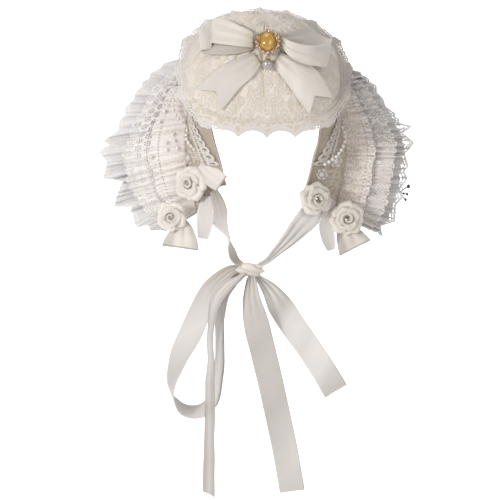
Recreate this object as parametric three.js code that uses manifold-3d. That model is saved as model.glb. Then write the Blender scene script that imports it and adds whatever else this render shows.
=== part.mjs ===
// Lace bonnet with a puffed oval crown, side panels edged with ruffles, satin roses and ribbon ties.
// Millimetres. X runs to the viewer's right, Y away from the viewer and Z up.
// The origin is the top of the head that the bonnet sits on.
import * as THREE from 'three';
import { mergeVertices } from 'three/addons/utils/BufferGeometryUtils.js';
import Module from 'manifold-3d';

const wasm = await Module();
wasm.setup();

// Driving dimensions

const GAP = 0.4;
const LEFT = -1;
const RIGHT = 1;

const CROWN = {
  centre: new THREE.Vector3(0, -47, 18),
  halfWidth: 95,
  halfLength: 80,
  rise: 72,
  forwardTilt: 54,
  topLean: 9,
  browSquareness: 2.8,
  puff: 1.8,
  wall: 2.4,
  pleats: 24,
  pleatDepth: 1.5,
};

// Rings of the crown's front, as shares of the way from its middle to its edge.
const CROWN_RINGS = [0, 0.18, 0.42, 0.7, 1];

const RIM = { y: -94, z: -48.5, slope: 24 };

const HEM = {
  scallops: 16,
  seat: 3.15,
  overlap: 0.14,
  valley: 8,
  tip: 12,
  browExtra: 6,
  fall: 0.5,
  thickness: 1.2,
};

const PANEL = { wall: 2, backY: 4, tailFrontZ: -138, tailMiddleZ: -158, tailBackZ: -166 };

// One row for each height of the side panel, as an ellipse seen from above:
// its widest half width, its front-to-back half depth, its centre and its front edge.
const PANEL_SECTIONS = [
  { z: -2, halfWidth: 88, halfDepth: 62, centreY: -28, frontY: -78 },
  { z: -20, halfWidth: 91, halfDepth: 76, centreY: -22, frontY: -76 },
  { z: -38, halfWidth: 95, halfDepth: 86, centreY: -12, frontY: -72 },
  { z: -60, halfWidth: 100, halfDepth: 80, centreY: -2, frontY: -62 },
  { z: -90, halfWidth: 103, halfDepth: 73, centreY: 4, frontY: -56 },
  { z: -120, halfWidth: 100, halfDepth: 63, centreY: 4, frontY: -50 },
  { z: -140, halfWidth: 96, halfDepth: 56, centreY: 3, frontY: -46 },
  { z: -168, halfWidth: 90, halfDepth: 52, centreY: 2, frontY: -40 },
];

const RUFFLE = { y: -8, folds: 17, thickness: 2.6, rootFold: 1.4, tipFold: 6, point: 0.035, seatSpan: 5 };

// One row for each layer of a ruffle: the share of the full reach that it covers,
// how far its root lies behind the middle layer's, and how far its edge leans back.
const RUFFLE_LAYERS = [
  { name: 'front', reach: 0.42, rootBack: -3.7, edgeBack: -11 },
  { name: 'middle', reach: 0.74, rootBack: 0, edgeBack: -1 },
  { name: 'back', reach: 1, rootBack: 3.7, edgeBack: 15 },
];

// One row for each station down a ruffle: the height of its root and the place of its outer edge.
const LEFT_FAN = [
  { rootZ: 14, edgeX: 111, edgeZ: 31 },
  { rootZ: -5, edgeX: 146, edgeZ: 11 },
  { rootZ: -26, edgeX: 174, edgeZ: -27 },
  { rootZ: -48, edgeX: 195, edgeZ: -64 },
  { rootZ: -74, edgeX: 208, edgeZ: -92 },
  { rootZ: -100, edgeX: 203, edgeZ: -126 },
  { rootZ: -128, edgeX: 187, edgeZ: -157 },
  { rootZ: -150, edgeX: 153, edgeZ: -183 },
  { rootZ: -164, edgeX: 128, edgeZ: -189 },
];
const RIGHT_FAN = [
  { rootZ: 14, edgeX: 103, edgeZ: 22 },
  { rootZ: -5, edgeX: 128, edgeZ: 9 },
  { rootZ: -26, edgeX: 151, edgeZ: -15 },
  { rootZ: -50, edgeX: 173, edgeZ: -49 },
  { rootZ: -76, edgeX: 186, edgeZ: -77 },
  { rootZ: -102, edgeX: 183, edgeZ: -105 },
  { rootZ: -130, edgeX: 178, edgeZ: -139 },
  { rootZ: -152, edgeX: 166, edgeZ: -176 },
  { rootZ: -164, edgeX: 148, edgeZ: -195 },
];

const PANEL_LACE = { width: 15, thickness: 1, scallop: 2.5 };
// One row for each station down the lace band on a panel: its height and its middle line.
const PANEL_LACE_LINE = [
  { z: -26, middleY: -30 },
  { z: -50, middleY: -38 },
  { z: -75, middleY: -44 },
  { z: -102, middleY: -46 },
];

const BEAD = { radius: 2.3, pitch: 6.2, sides: 10, thread: 0.6, ruffleGap: 1 };
// One row for each ring of a bead: its place along the thread and its radius, in bead radii.
const BEAD_RINGS = [
  { along: -0.8, radius: 0.6 },
  { along: 0, radius: 1 },
  { along: 0.8, radius: 0.6 },
];
// One row for each bend of a pearl string, seen from the front.
const LEFT_STRING = [
  { x: 115, z: -20 },
  { x: 116, z: -32 },
  { x: 110, z: -45 },
  { x: 99, z: -57 },
  { x: 94, z: -70 },
  { x: 83, z: -85 },
];
const RIGHT_STRING = [
  { x: 94, z: -54 },
  { x: 95, z: -68 },
  { x: 92, z: -80 },
  { x: 84, z: -90 },
  { x: 74, z: -97 },
  { x: 64, z: -103 },
];

const RIBBON = { thickness: 1.2, endThickness: 2, knotWidth: 6, knotGap: 0.9, turnedKnotGap: 1.4 };

// One row for each station of a bow piece on the crown, seen from the front: the two edges
// of the ribbon, upper and lower or outer and inner, and its height above the crown.
const BOW_LOOP_LEFT = [
  { ax: -16, az: 51, bx: -15, bz: 38, lift: 3.2 },
  { ax: -34, az: 59, bx: -31, bz: 37, lift: 3.2 },
  { ax: -54, az: 63, bx: -47, bz: 34, lift: 3.2 },
  { ax: -69, az: 61, bx: -61, bz: 31, lift: 4.4 },
  { ax: -74, az: 59, bx: -65, bz: 30, lift: 8 },
  { ax: -69, az: 62, bx: -60, bz: 32, lift: 11.5 },
  { ax: -55, az: 66, bx: -46, bz: 36, lift: 13 },
  { ax: -35, az: 60, bx: -31, bz: 37, lift: 13 },
  { ax: -17, az: 53, bx: -17, bz: 38, lift: 9 },
];
const BOW_LOOP_RIGHT = [
  { ax: 15, az: 51, bx: 15, bz: 38, lift: 3.2 },
  { ax: 34, az: 57, bx: 30, bz: 32, lift: 3.2 },
  { ax: 52, az: 56, bx: 46, bz: 24, lift: 3.2 },
  { ax: 66, az: 50, bx: 57, bz: 17, lift: 4.4 },
  { ax: 71, az: 46, bx: 61, bz: 13, lift: 8 },
  { ax: 66, az: 49, bx: 56, bz: 15, lift: 11.5 },
  { ax: 50, az: 55, bx: 43, bz: 23, lift: 13 },
  { ax: 33, az: 56, bx: 29, bz: 32, lift: 13 },
  { ax: 16, az: 52, bx: 17, bz: 38, lift: 9 },
];
const BOW_TAIL_LEFT = [
  { ax: -17, az: 33, bx: -12, bz: 20, lift: 1.5 },
  { ax: -34, az: 27, bx: -18, bz: 9, lift: 1.7 },
  { ax: -50, az: 20, bx: -30, bz: -5, lift: 1.7 },
  { ax: -68, az: 6, bx: -42, bz: -19, lift: 1.7 },
  { ax: -86, az: -9, bx: -53, bz: -33, lift: 1.7 },
];
const BOW_TAIL_RIGHT = [
  { ax: 17, az: 33, bx: 12, bz: 20, lift: 1.5 },
  { ax: 34, az: 26, bx: 19, bz: 8, lift: 1.7 },
  { ax: 51, az: 19, bx: 28, bz: -8, lift: 1.7 },
  { ax: 65, az: 4, bx: 38, bz: -22, lift: 1.7 },
  { ax: 78, az: -19, bx: 50, bz: -37, lift: 1.7 },
];
const BOW_NOTCH = 15;
const BOW_KNOT = { halfX: 12, halfY: 5, halfZ: 11.5, lift: -1.7, lobes: 4, lobeDepth: 0.06 };

const BROOCH = {
  x: 0.5,
  z: 43.5,
  lift: 12,
  plateRadius: 13.6,
  plate: 2.4,
  stones: 16,
  stoneRadius: 1.9,
  stoneRing: 13.5,
  stoneHeight: 2.2,
};
const CABOCHON = { x: 8.7, z: 10.8, height: 6.5 };
const DROP = { radius: 6.6, eyeRadius: 1.5, wire: 0.5, linkLength: 4.9, lift: -0.6 };

// One row for each rose: the middle of its back, how far it is turned outwards,
// its half width, its half height and how far it stands out.
const ROSES = [
  { name: 'upper_left', x: -90.6, y: -27.4, z: -127, turn: -35, halfX: 18, halfZ: 17, out: 18 },
  { name: 'lower_left', x: -117, y: -24.3, z: -167, turn: -8, halfX: 16, halfZ: 16, out: 17 },
  { name: 'upper_right', x: 57.5, y: -45.1, z: -143, turn: 28, halfX: 19, halfZ: 17, out: 17 },
  { name: 'lower_right', x: 99, y: -25.5, z: -169, turn: 8, halfX: 19, halfZ: 18, out: 18 },
];

const PETALS = {
  count: 5,
  depth: 0.07,
  swirls: 3,
  swirlTurn: 7,
  swirlDepth: 1.3,
  edgeSwirl: 0.3,
  edgeHeight: 0.07,
  backShare: 0.8,
};

// One row for each station of a hanging ribbon: its middle, how far it is turned
// from facing the viewer, and its width.
const TIE_LEFT = [
  { x: -62.7, y: -41, z: -141, turn: 32, width: 18 },
  { x: -59, y: -49, z: -154, turn: 50, width: 28 },
  { x: -57, y: -55, z: -170, turn: 53, width: 32 },
  { x: -52, y: -57, z: -181, turn: 68, width: 31 },
  { x: -46, y: -59, z: -192, turn: 86, width: 28 },
  { x: -43.5, y: -61, z: -205, turn: 106, width: 26 },
  { x: -39, y: -62, z: -217, turn: 118, width: 17 },
];
const TIE_RIGHT = [
  { x: 64.8, y: -38.8, z: -146, turn: -28, width: 24 },
  { x: 56, y: -42.5, z: -162, turn: -23, width: 32 },
  { x: 42, y: -49, z: -177, turn: -34, width: 32 },
  { x: 28, y: -57, z: -192, turn: -50, width: 31 },
  { x: 12, y: -60, z: -208, turn: -58, width: 24 },
  { x: 1, y: -62, z: -219, turn: -50, width: 12 },
];
const TIE_LOOP = [
  { x: -42, y: -59, z: -231, turn: 40, width: 14 },
  { x: -57, y: -57, z: -241, turn: 46, width: 22 },
  { x: -70, y: -55, z: -256, turn: 46, width: 30 },
  { x: -81, y: -55, z: -279, turn: 37, width: 32 },
  { x: -94, y: -55, z: -310, turn: 30, width: 32 },
  { x: -109.5, y: -55, z: -341, turn: 46, width: 32 },
  { x: -117.5, y: -54, z: -367, turn: 63, width: 32 },
  { x: -118, y: -53, z: -388, turn: 82, width: 32 },
  { x: -108, y: -50, z: -405, turn: 102, width: 32 },
  { x: -92, y: -46, z: -411, turn: 111, width: 32 },
  { x: -76, y: -42, z: -407, turn: 112, width: 32 },
  { x: -64, y: -39, z: -391, turn: 112, width: 32 },
  { x: -59, y: -37, z: -362, turn: 112, width: 32 },
  { x: -58, y: -37, z: -325, turn: 112, width: 32 },
  { x: -58, y: -39, z: -290, turn: 112, width: 32 },
  { x: -54, y: -43, z: -263, turn: 120, width: 28 },
  { x: -43, y: -47, z: -246, turn: 140, width: 20 },
  { x: -33, y: -50, z: -239, turn: 150, width: 12 },
];
const TIE_TAIL_LEFT = [
  { x: -36, y: -72, z: -240, turn: 70, width: 13 },
  { x: -48, y: -75, z: -248, turn: 60, width: 22 },
  { x: -60, y: -79, z: -263, turn: 64, width: 30 },
  { x: -67, y: -81, z: -285, turn: 73, width: 32 },
  { x: -69, y: -82, z: -318, turn: 75, width: 32 },
  { x: -69, y: -82, z: -355, turn: 72, width: 32 },
  { x: -69.5, y: -81, z: -395, turn: 67, width: 32 },
  { x: -70.5, y: -80, z: -436, turn: 65, width: 32 },
  { x: -72, y: -80, z: -508, turn: 62, width: 32 },
];
const TIE_TAIL_MIDDLE = [
  { x: -19, y: -66, z: -243, turn: 20, width: 13 },
  { x: -18, y: -68, z: -268, turn: 15, width: 24 },
  { x: -12.8, y: -69, z: -295, turn: 8, width: 32 },
  { x: -4, y: -69, z: -331, turn: 6, width: 32 },
  { x: 6.2, y: -69, z: -374, turn: 6, width: 32 },
  { x: 16, y: -68, z: -420, turn: 6, width: 32 },
  { x: 24.3, y: -67, z: -460, turn: 6, width: 32 },
  { x: 32.5, y: -66, z: -508, turn: 6, width: 32 },
];
const TIE_TAIL_RIGHT = [
  { x: -7, y: -58, z: -243, turn: -20, width: 10 },
  { x: 5, y: -55, z: -257, turn: -25, width: 22 },
  { x: 17, y: -54, z: -276, turn: -14, width: 31 },
  { x: 33.4, y: -54, z: -301, turn: -8, width: 32 },
  { x: 54.3, y: -55, z: -331, turn: -8, width: 32 },
  { x: 72, y: -56, z: -358, turn: -8, width: 32 },
  { x: 87, y: -57, z: -383, turn: -8, width: 32 },
];
const TIE_KNOT = { x: -20, y: -61, z: -230, halfX: 16, halfY: 7, halfZ: 8, lobes: 5, lobeDepth: 0.08 };

const RIBBON_END_LEFT = [
  { x: -113, y: -29, z: -184.6, turn: 5, width: 18 },
  { x: -108, y: -33, z: -192, turn: 10, width: 34 },
  { x: -105, y: -35, z: -206, turn: -12, width: 43 },
];
const RIBBON_END_RIGHT = [
  { x: 101, y: -29, z: -188.6, turn: -5, width: 20 },
  { x: 101, y: -33, z: -196, turn: -10, width: 38 },
  { x: 101, y: -35, z: -207, turn: 12, width: 45 },
];
const LACE_TAB_LEFT = [
  { x: -74.6, y: -34, z: -141, turn: 35, width: 10 },
  { x: -76.4, y: -39, z: -160, turn: 28, width: 14 },
  { x: -77, y: -41, z: -178, turn: 20, width: 12 },
  { x: -77, y: -41, z: -192, turn: 15, width: 4 },
];
const LACE_TAB_RIGHT = [
  { x: 82.9, y: -26, z: -146, turn: -45, width: 9 },
  { x: 79, y: -32, z: -160, turn: -35, width: 11 },
  { x: 73, y: -39, z: -176, turn: -25, width: 13 },
  { x: 76, y: -41, z: -193, turn: -20, width: 12 },
  { x: 80, y: -41, z: -208, turn: -15, width: 4 },
];

const SPRIG = { x: 171, y: 16.5, z: -140, stem: 0.6, bend: 1.2, forward: 2 };
// One row for each bud of the sprig, from the sprig's foot.
const SPRIG_BUDS = [
  { x: 10.5, z: 8, radius: 2.4 },
  { x: 9, z: -2, radius: 1.8 },
  { x: 7, z: -9, radius: 1.8 },
];

// Finishes

const MATERIALS = {
  crownLace: new THREE.MeshStandardMaterial({ color: 0xe9e2cf, roughness: 0.8 }),
  whiteLace: new THREE.MeshStandardMaterial({ color: 0xe6e4e0, roughness: 0.85 }),
  panelCloth: new THREE.MeshStandardMaterial({ color: 0xd8cbb8, roughness: 0.7 }),
  satin: new THREE.MeshStandardMaterial({ color: 0xf0e8d8, roughness: 0.35 }),
  pearl: new THREE.MeshStandardMaterial({ color: 0xe8e4dc, roughness: 0.2 }),
  gold: new THREE.MeshStandardMaterial({ color: 0xc79a4e, roughness: 0.3, metalness: 1 }),
  amber: new THREE.MeshStandardMaterial({ color: 0xc98a1e, roughness: 0.2 }),
  black: new THREE.MeshStandardMaterial({ color: 0x151515, roughness: 0.4 }),
};

const bonnet = new THREE.Group();

function addPiece(name, geometry, material) {
  const mesh = new THREE.Mesh(geometry, material);
  mesh.name = name;
  bonnet.add(mesh);
}

// Small helpers

const radians = THREE.MathUtils.degToRad;
const mix = THREE.MathUtils.lerp;

function smoothStep(low, high, value) {
  return THREE.MathUtils.smoothstep(value, low, high);
}

function vector(x, y, z) {
  return new THREE.Vector3(x, y, z);
}

// The value of one column, read smoothly at a fractional row number.
function columnAt(rows, column, place) {
  const last = rows.length - 1;
  const at = THREE.MathUtils.clamp(place, 0, last);
  const i = Math.min(Math.floor(at), last - 1);
  const t = at - i;
  const value = (k) => rows[THREE.MathUtils.clamp(k, 0, last)][column];
  const [before, start, end, after] = [value(i - 1), value(i), value(i + 1), value(i + 2)];
  return (2 * start - 2 * end + (end - before + after - start) / 2) * t ** 3
    + (3 * end - 3 * start - (end - before) - (after - start) / 2) * t ** 2
    + ((end - before) / 2) * t + start;
}

// The fractional row number at which a falling column reaches a value.
function rowOf(rows, column, value) {
  for (let i = 0; i < rows.length - 1; i += 1) {
    const [high, low] = [rows[i][column], rows[i + 1][column]];
    if (value >= low || i === rows.length - 2) {
      return i + (high - value) / (high - low);
    }
  }
  return 0;
}

// Closed cloth walls

function signedVolume(points, faces) {
  let volume = 0;
  for (const [a, b, c] of faces) {
    volume += points[a].dot(vector(0, 0, 0).crossVectors(points[b], points[c]));
  }
  return volume;
}

function solidFrom(points, faces) {
  const sound = faces.filter(([a, b, c]) => {
    const side = points[b].clone().sub(points[a]);
    return side.cross(points[c].clone().sub(points[a])).length() > 1e-6;
  });
  const outward = signedVolume(points, sound) > 0 ? sound : sound.map(([a, b, c]) => [a, c, b]);
  const geometry = new THREE.BufferGeometry();
  geometry.setAttribute('position', new THREE.Float32BufferAttribute(points.flatMap((p) => p.toArray()), 3));
  geometry.setIndex(outward.flat());
  return mergeVertices(geometry, 1e-4);
}

// A wall between two grids of points. A ring's last column joins its first.
function wallBetween(outer, inner, ring = false) {
  const rows = outer.length;
  const columns = outer[0].length;
  const points = [...outer.flat(), ...inner.flat()];
  const id = (layer, r, c) => layer * rows * columns + r * columns + (c % columns);
  const faces = [];
  const quad = (a, b, c, d) => faces.push([a, b, c], [a, c, d]);
  const cells = ring ? columns : columns - 1;
  for (let c = 0; c < cells; c += 1) {
    for (let r = 0; r < rows - 1; r += 1) {
      quad(id(0, r, c), id(0, r, c + 1), id(0, r + 1, c + 1), id(0, r + 1, c));
      quad(id(1, r, c), id(1, r + 1, c), id(1, r + 1, c + 1), id(1, r, c + 1));
    }
    quad(id(0, 0, c), id(1, 0, c), id(1, 0, c + 1), id(0, 0, c + 1));
    const end = rows - 1;
    quad(id(0, end, c), id(0, end, c + 1), id(1, end, c + 1), id(1, end, c));
  }
  if (!ring) {
    const side = columns - 1;
    for (let r = 0; r < rows - 1; r += 1) {
      quad(id(0, r, 0), id(0, r + 1, 0), id(1, r + 1, 0), id(1, r, 0));
      quad(id(0, r, side), id(1, r, side), id(1, r + 1, side), id(0, r + 1, side));
    }
  }
  return solidFrom(points, faces);
}

function grid(rows, columns, pointAt) {
  return Array.from({ length: rows }, (_, r) => Array.from({ length: columns }, (__, c) => pointAt(r, c)));
}

function normalAt(surface, u, v, step = 0.004) {
  const alongU = surface(u + step, v).sub(surface(u - step, v));
  const alongV = surface(u, v + step).sub(surface(u, v - step));
  return alongU.cross(alongV).normalize();
}

// Joining with manifold solids

function toSolid(geometry) {
  const bare = geometry.clone();
  bare.deleteAttribute('normal');
  bare.deleteAttribute('uv');
  const merged = mergeVertices(bare, 1e-4);
  return new wasm.Manifold(new wasm.Mesh({
    numProp: 3,
    vertProperties: new Float32Array(merged.attributes.position.array),
    triVerts: new Uint32Array(merged.index.array),
  }));
}

function fused(geometries) {
  const whole = geometries.map(toSolid).reduce((sum, next) => sum.add(next));
  const mesh = whole.getMesh();
  const geometry = new THREE.BufferGeometry();
  geometry.setAttribute('position', new THREE.Float32BufferAttribute(mesh.vertProperties, 3));
  geometry.setIndex([...mesh.triVerts]);
  return geometry;
}

// Crown shape: an oval puff whose axis leans forward

const CROWN_AXIS = vector(0, -Math.sin(radians(CROWN.forwardTilt)), Math.cos(radians(CROWN.forwardTilt)));
const CROWN_BROW = vector(0, -Math.cos(radians(CROWN.forwardTilt)), -Math.sin(radians(CROWN.forwardTilt)));

function crownRadius(theta) {
  const low = smoothStep(-0.2, 0.6, Math.sin(theta));
  const power = mix(2, CROWN.browSquareness, low);
  const across = Math.abs(Math.cos(theta)) / CROWN.halfWidth;
  const along = Math.abs(Math.sin(theta)) / CROWN.halfLength;
  return (across ** power + along ** power) ** (-1 / power);
}

function crownLean(alongBrow) {
  return -CROWN.topLean * (CROWN.halfLength - alongBrow) / (2 * CROWN.halfLength);
}

// The front is a flatter puff than the half ellipsoid behind it.
function crownHeight(cosine) {
  return CROWN.rise * (cosine > 0 ? cosine ** CROWN.puff : cosine);
}

function crownCosine(height) {
  const share = THREE.MathUtils.clamp(height / CROWN.rise, -1, 1);
  return share > 0 ? share ** (1 / CROWN.puff) : share;
}

function crownPoint(phi, theta) {
  const radius = crownRadius(theta) * Math.sin(phi);
  const alongBrow = radius * Math.sin(theta);
  const point = CROWN.centre.clone();
  point.x += radius * Math.cos(theta) + crownLean(alongBrow);
  point.addScaledVector(CROWN_BROW, alongBrow);
  return point.addScaledVector(CROWN_AXIS, crownHeight(Math.cos(phi)));
}

function crownNormal(phi, theta) {
  if (phi < 0.02) {
    return CROWN_AXIS.clone();
  }
  return normalAt(crownPoint, phi, theta).negate();
}

function rimZ(y) {
  return RIM.z + (y - RIM.y) * Math.tan(radians(RIM.slope));
}

function bisect(low, high, isLow) {
  let [a, b] = [low, high];
  for (let i = 0; i < 40; i += 1) {
    const middle = (a + b) / 2;
    if (isLow(middle)) {
      a = middle;
    } else {
      b = middle;
    }
  }
  return (a + b) / 2;
}

// Where the crown's side lies at a depth and height, on the left or on the right.
function crownSideX(side, y, z) {
  const from = vector(0, y, z).sub(CROWN.centre);
  const spread = Math.sqrt(1 - crownCosine(from.dot(CROWN_AXIS)) ** 2);
  const alongBrow = from.dot(CROWN_BROW);
  const theta = bisect(-Math.PI / 2, Math.PI / 2, (t) => crownRadius(t) * spread * Math.sin(t) < alongBrow);
  return side * crownRadius(theta) * spread * Math.cos(theta) + crownLean(alongBrow);
}

// The front face of the crown at a place seen from the front, raised along its normal.
function onCrown(x, z, lift) {
  const outside = (y) => {
    const edge = Math.abs(crownSideX(x < crownSideXMiddle(y, z) ? LEFT : RIGHT, y, z) - crownSideXMiddle(y, z));
    return Math.abs(x - crownSideXMiddle(y, z)) > edge;
  };
  const y = bisect(-180, CROWN.centre.y, outside);
  const point = vector(x, y, z);
  return point.addScaledVector(crownNormalAt(point), lift);
}

function crownSideXMiddle(y, z) {
  return crownLean(vector(0, y, z).sub(CROWN.centre).dot(CROWN_BROW));
}

function crownNormalAt(point) {
  const from = point.clone().sub(CROWN.centre);
  const alongBrow = from.dot(CROWN_BROW);
  const across = from.x - crownLean(alongBrow);
  const theta = Math.atan2(alongBrow, across);
  return crownNormal(Math.acos(crownCosine(from.dot(CROWN_AXIS))), theta);
}

// Crown, front: pleated lace over satin, gathered under the brooch

function crownFront() {
  const columns = CROWN.pleats * 2;
  const edge = Math.PI / 2;
  const shape = (depth) => grid(CROWN_RINGS.length, columns, (r, c) => {
    const phi = CROWN_RINGS[r] * edge;
    const theta = (c / columns) * Math.PI * 2;
    const pleat = CROWN.pleatDepth * (c % 2 ? -1 : 1) * smoothStep(0.1, 0.4, CROWN_RINGS[r]);
    const normal = crownNormal(phi, theta);
    const raise = depth > 0 ? -depth : pleat;
    return crownPoint(phi, theta).addScaledVector(normal, raise);
  });
  return wallBetween(shape(0), shape(CROWN.wall + CROWN.pleatDepth), true);
}

// Crown, back: plain satin from the oval's edge down to the opening's rim

function crownBack() {
  const columns = 28;
  const rows = 4;
  const seam = Math.PI / 2 + GAP / CROWN.halfLength;
  const shape = (depth) => grid(rows, columns, (r, c) => {
    const theta = (c / columns) * Math.PI * 2;
    const end = bisect(seam, Math.PI, (phi) => {
      const point = crownPoint(phi, theta);
      return point.z > rimZ(point.y);
    });
    const phi = mix(seam, end, r / (rows - 1));
    return crownPoint(phi, theta).addScaledVector(crownNormal(phi, theta), -depth);
  });
  return wallBetween(shape(0), shape(CROWN.wall), true);
}

// Scalloped lace round the oval's edge

function crownLaceEdge() {
  const columns = HEM.scallops * 2;
  const shape = (shift) => grid(4, columns, (r, c) => {
    const theta = ((c + 1) / columns) * Math.PI * 2;
    const phi = Math.PI / 2 - (r === 0 ? HEM.overlap : 0);
    const brow = smoothStep(0.2, 0.9, Math.sin(theta));
    const out = Math.max(0, r - 1) / 2;
    const reach = ((c % 2 ? HEM.tip : HEM.valley) + HEM.browExtra * brow) * out;
    const fall = HEM.fall * mix(0.4, 1, brow);
    const normal = crownNormal(phi, theta);
    const point = crownPoint(phi, theta).addScaledVector(normal, HEM.seat + reach * Math.sqrt(1 - fall ** 2));
    const through = normal.clone().multiplyScalar(1 - r / 3).addScaledVector(CROWN_AXIS, r / 3).normalize();
    return point.addScaledVector(CROWN_AXIS, -reach * fall).addScaledVector(through, shift);
  });
  return wallBetween(shape(HEM.thickness / 2), shape(-HEM.thickness / 2), true);
}

addPiece('crown_front', crownFront(), MATERIALS.crownLace);
addPiece('crown_back', crownBack(), MATERIALS.satin);
addPiece('crown_lace_edge', crownLaceEdge(), MATERIALS.whiteLace);

// Side panels

function panelSideX(side, y, z) {
  const row = rowOf(PANEL_SECTIONS, 'z', z);
  const halfWidth = columnAt(PANEL_SECTIONS, 'halfWidth', row);
  const halfDepth = columnAt(PANEL_SECTIONS, 'halfDepth', row);
  const centreY = columnAt(PANEL_SECTIONS, 'centreY', row);
  const reach = THREE.MathUtils.clamp((y - centreY) / halfDepth, -0.99, 0.99);
  const lean = crownSideXMiddle(y, rimZ(y)) * smoothStep(-110, -15, z);
  return side * halfWidth * Math.sqrt(1 - reach ** 2) + lean;
}

function panelEndZ(u) {
  if (u < 0.4) {
    return mix(PANEL.tailFrontZ, PANEL.tailMiddleZ, smoothStep(0, 0.4, u));
  }
  return mix(PANEL.tailMiddleZ, PANEL.tailBackZ, smoothStep(0.4, 1, u));
}

function panelPoint(side, u, v) {
  let z = RIM.z;
  let y = PANEL.backY;
  for (let i = 0; i < 6; i += 1) {
    const frontY = columnAt(PANEL_SECTIONS, 'frontY', rowOf(PANEL_SECTIONS, 'z', z));
    y = mix(frontY, PANEL.backY, u);
    z = mix(panelEndZ(u), rimZ(y) - GAP, v);
  }
  return vector(panelSideX(side, y, z), y, z);
}

function sidePanel(side) {
  const rows = 9;
  const columns = 8;
  const surface = (u, v) => panelPoint(side, u, v);
  const shape = (depth) => grid(rows, columns, (r, c) => {
    const u = c / (columns - 1);
    const v = r / (rows - 1);
    const inset = THREE.MathUtils.clamp(v, 0.01, 0.99);
    const normal = normalAt(surface, u, inset).multiplyScalar(side);
    normal.z = 0;
    return panelPoint(side, u, v).addScaledVector(normal.normalize(), depth);
  });
  return wallBetween(shape(0), shape(-PANEL.wall), false);
}

addPiece('side_panel_left', sidePanel(LEFT), MATERIALS.panelCloth);
addPiece('side_panel_right', sidePanel(RIGHT), MATERIALS.panelCloth);

// Ruffles: three gathered layers on each side

function sideX(side, y, z) {
  if (z < rimZ(y)) {
    return panelSideX(side, y, z);
  }
  return crownSideX(side, y, z);
}

function rufflePoint(side, layer, place, r, wave) {
  const fan = side === LEFT ? LEFT_FAN : RIGHT_FAN;
  const row = place * (fan.length - 1);
  const reach = r * layer.reach * (1 + RUFFLE.point * wave * r);
  const fold = mix(RUFFLE.rootFold, RUFFLE.tipFold, r * layer.reach);
  const y = RUFFLE.y + mix(layer.rootBack, layer.edgeBack, r) - fold * wave;
  const rootZ = columnAt(fan, 'rootZ', row);
  const rootY = RUFFLE.y + layer.rootBack - RUFFLE.rootFold * wave;
  const half = RUFFLE.thickness / 2;
  const seats = [-half, 0, half].flatMap((dy) => [-RUFFLE.seatSpan, 0, RUFFLE.seatSpan]
    .map((dz) => side * sideX(side, rootY + dy, rootZ + dz)));
  const rootX = Math.max(...seats) + GAP;
  const x = mix(rootX, columnAt(fan, 'edgeX', row), reach);
  const z = mix(rootZ, columnAt(fan, 'edgeZ', row), reach);
  return vector(side * x, y, z);
}

function ruffle(side, layer) {
  const columns = RUFFLE.folds * 2 + 1;
  const rows = 3;
  const shape = (shift) => grid(rows, columns, (r, c) => {
    const wave = c % 2 ? -1 : 1;
    const point = rufflePoint(side, layer, c / (columns - 1), r / (rows - 1), wave);
    point.y += shift;
    return point;
  });
  return wallBetween(shape(-RUFFLE.thickness / 2), shape(RUFFLE.thickness / 2));
}

for (const layer of RUFFLE_LAYERS) {
  addPiece(`ruffle_${layer.name}_left`, ruffle(LEFT, layer), MATERIALS.whiteLace);
  addPiece(`ruffle_${layer.name}_right`, ruffle(RIGHT, layer), MATERIALS.whiteLace);
}

// Lace bands on the panels

function panelLift(side, y, z, lift) {
  const surface = (a, b) => vector(panelSideX(side, y + a, z + b), y + a, z + b);
  const normal = normalAt(surface, 0, 0, 0.5).multiplyScalar(side);
  return surface(0, 0).addScaledVector(normal, lift);
}

function panelLace(side) {
  const rows = 13;
  const columns = 4;
  const shape = (lift) => grid(rows, columns, (r, c) => {
    const row = (r / (rows - 1)) * (PANEL_LACE_LINE.length - 1);
    const scallop = PANEL_LACE.scallop * (r % 2);
    const half = PANEL_LACE.width / 2 - (c === 0 ? scallop : 0);
    const y = columnAt(PANEL_LACE_LINE, 'middleY', row) + mix(-half, half, c / (columns - 1));
    return panelLift(side, y, columnAt(PANEL_LACE_LINE, 'z', row), lift);
  });
  return wallBetween(shape(GAP + PANEL_LACE.thickness), shape(GAP));
}

addPiece('panel_lace_left', panelLace(LEFT), MATERIALS.whiteLace);
addPiece('panel_lace_right', panelLace(RIGHT), MATERIALS.whiteLace);

// Pearl strings over the panels

function stringPoint(side, x, z) {
  const row = rowOf(PANEL_SECTIONS, 'z', z);
  const halfWidth = columnAt(PANEL_SECTIONS, 'halfWidth', row);
  const lift = BEAD.radius + PANEL_LACE.thickness + 3 * GAP;
  const ruffleFront = RUFFLE.y + RUFFLE_LAYERS[0].edgeBack - RUFFLE.tipFold / 2 - RUFFLE.thickness;
  const ruffleY = ruffleFront - BEAD.radius - BEAD.ruffleGap;
  if (x > halfWidth - RUFFLE.tipFold) {
    return vector(side * x, ruffleY, z);
  }
  const halfDepth = columnAt(PANEL_SECTIONS, 'halfDepth', row);
  const y = columnAt(PANEL_SECTIONS, 'centreY', row) - halfDepth * Math.sqrt(1 - (x / halfWidth) ** 2);
  return panelLift(side, y, z, lift);
}

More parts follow.
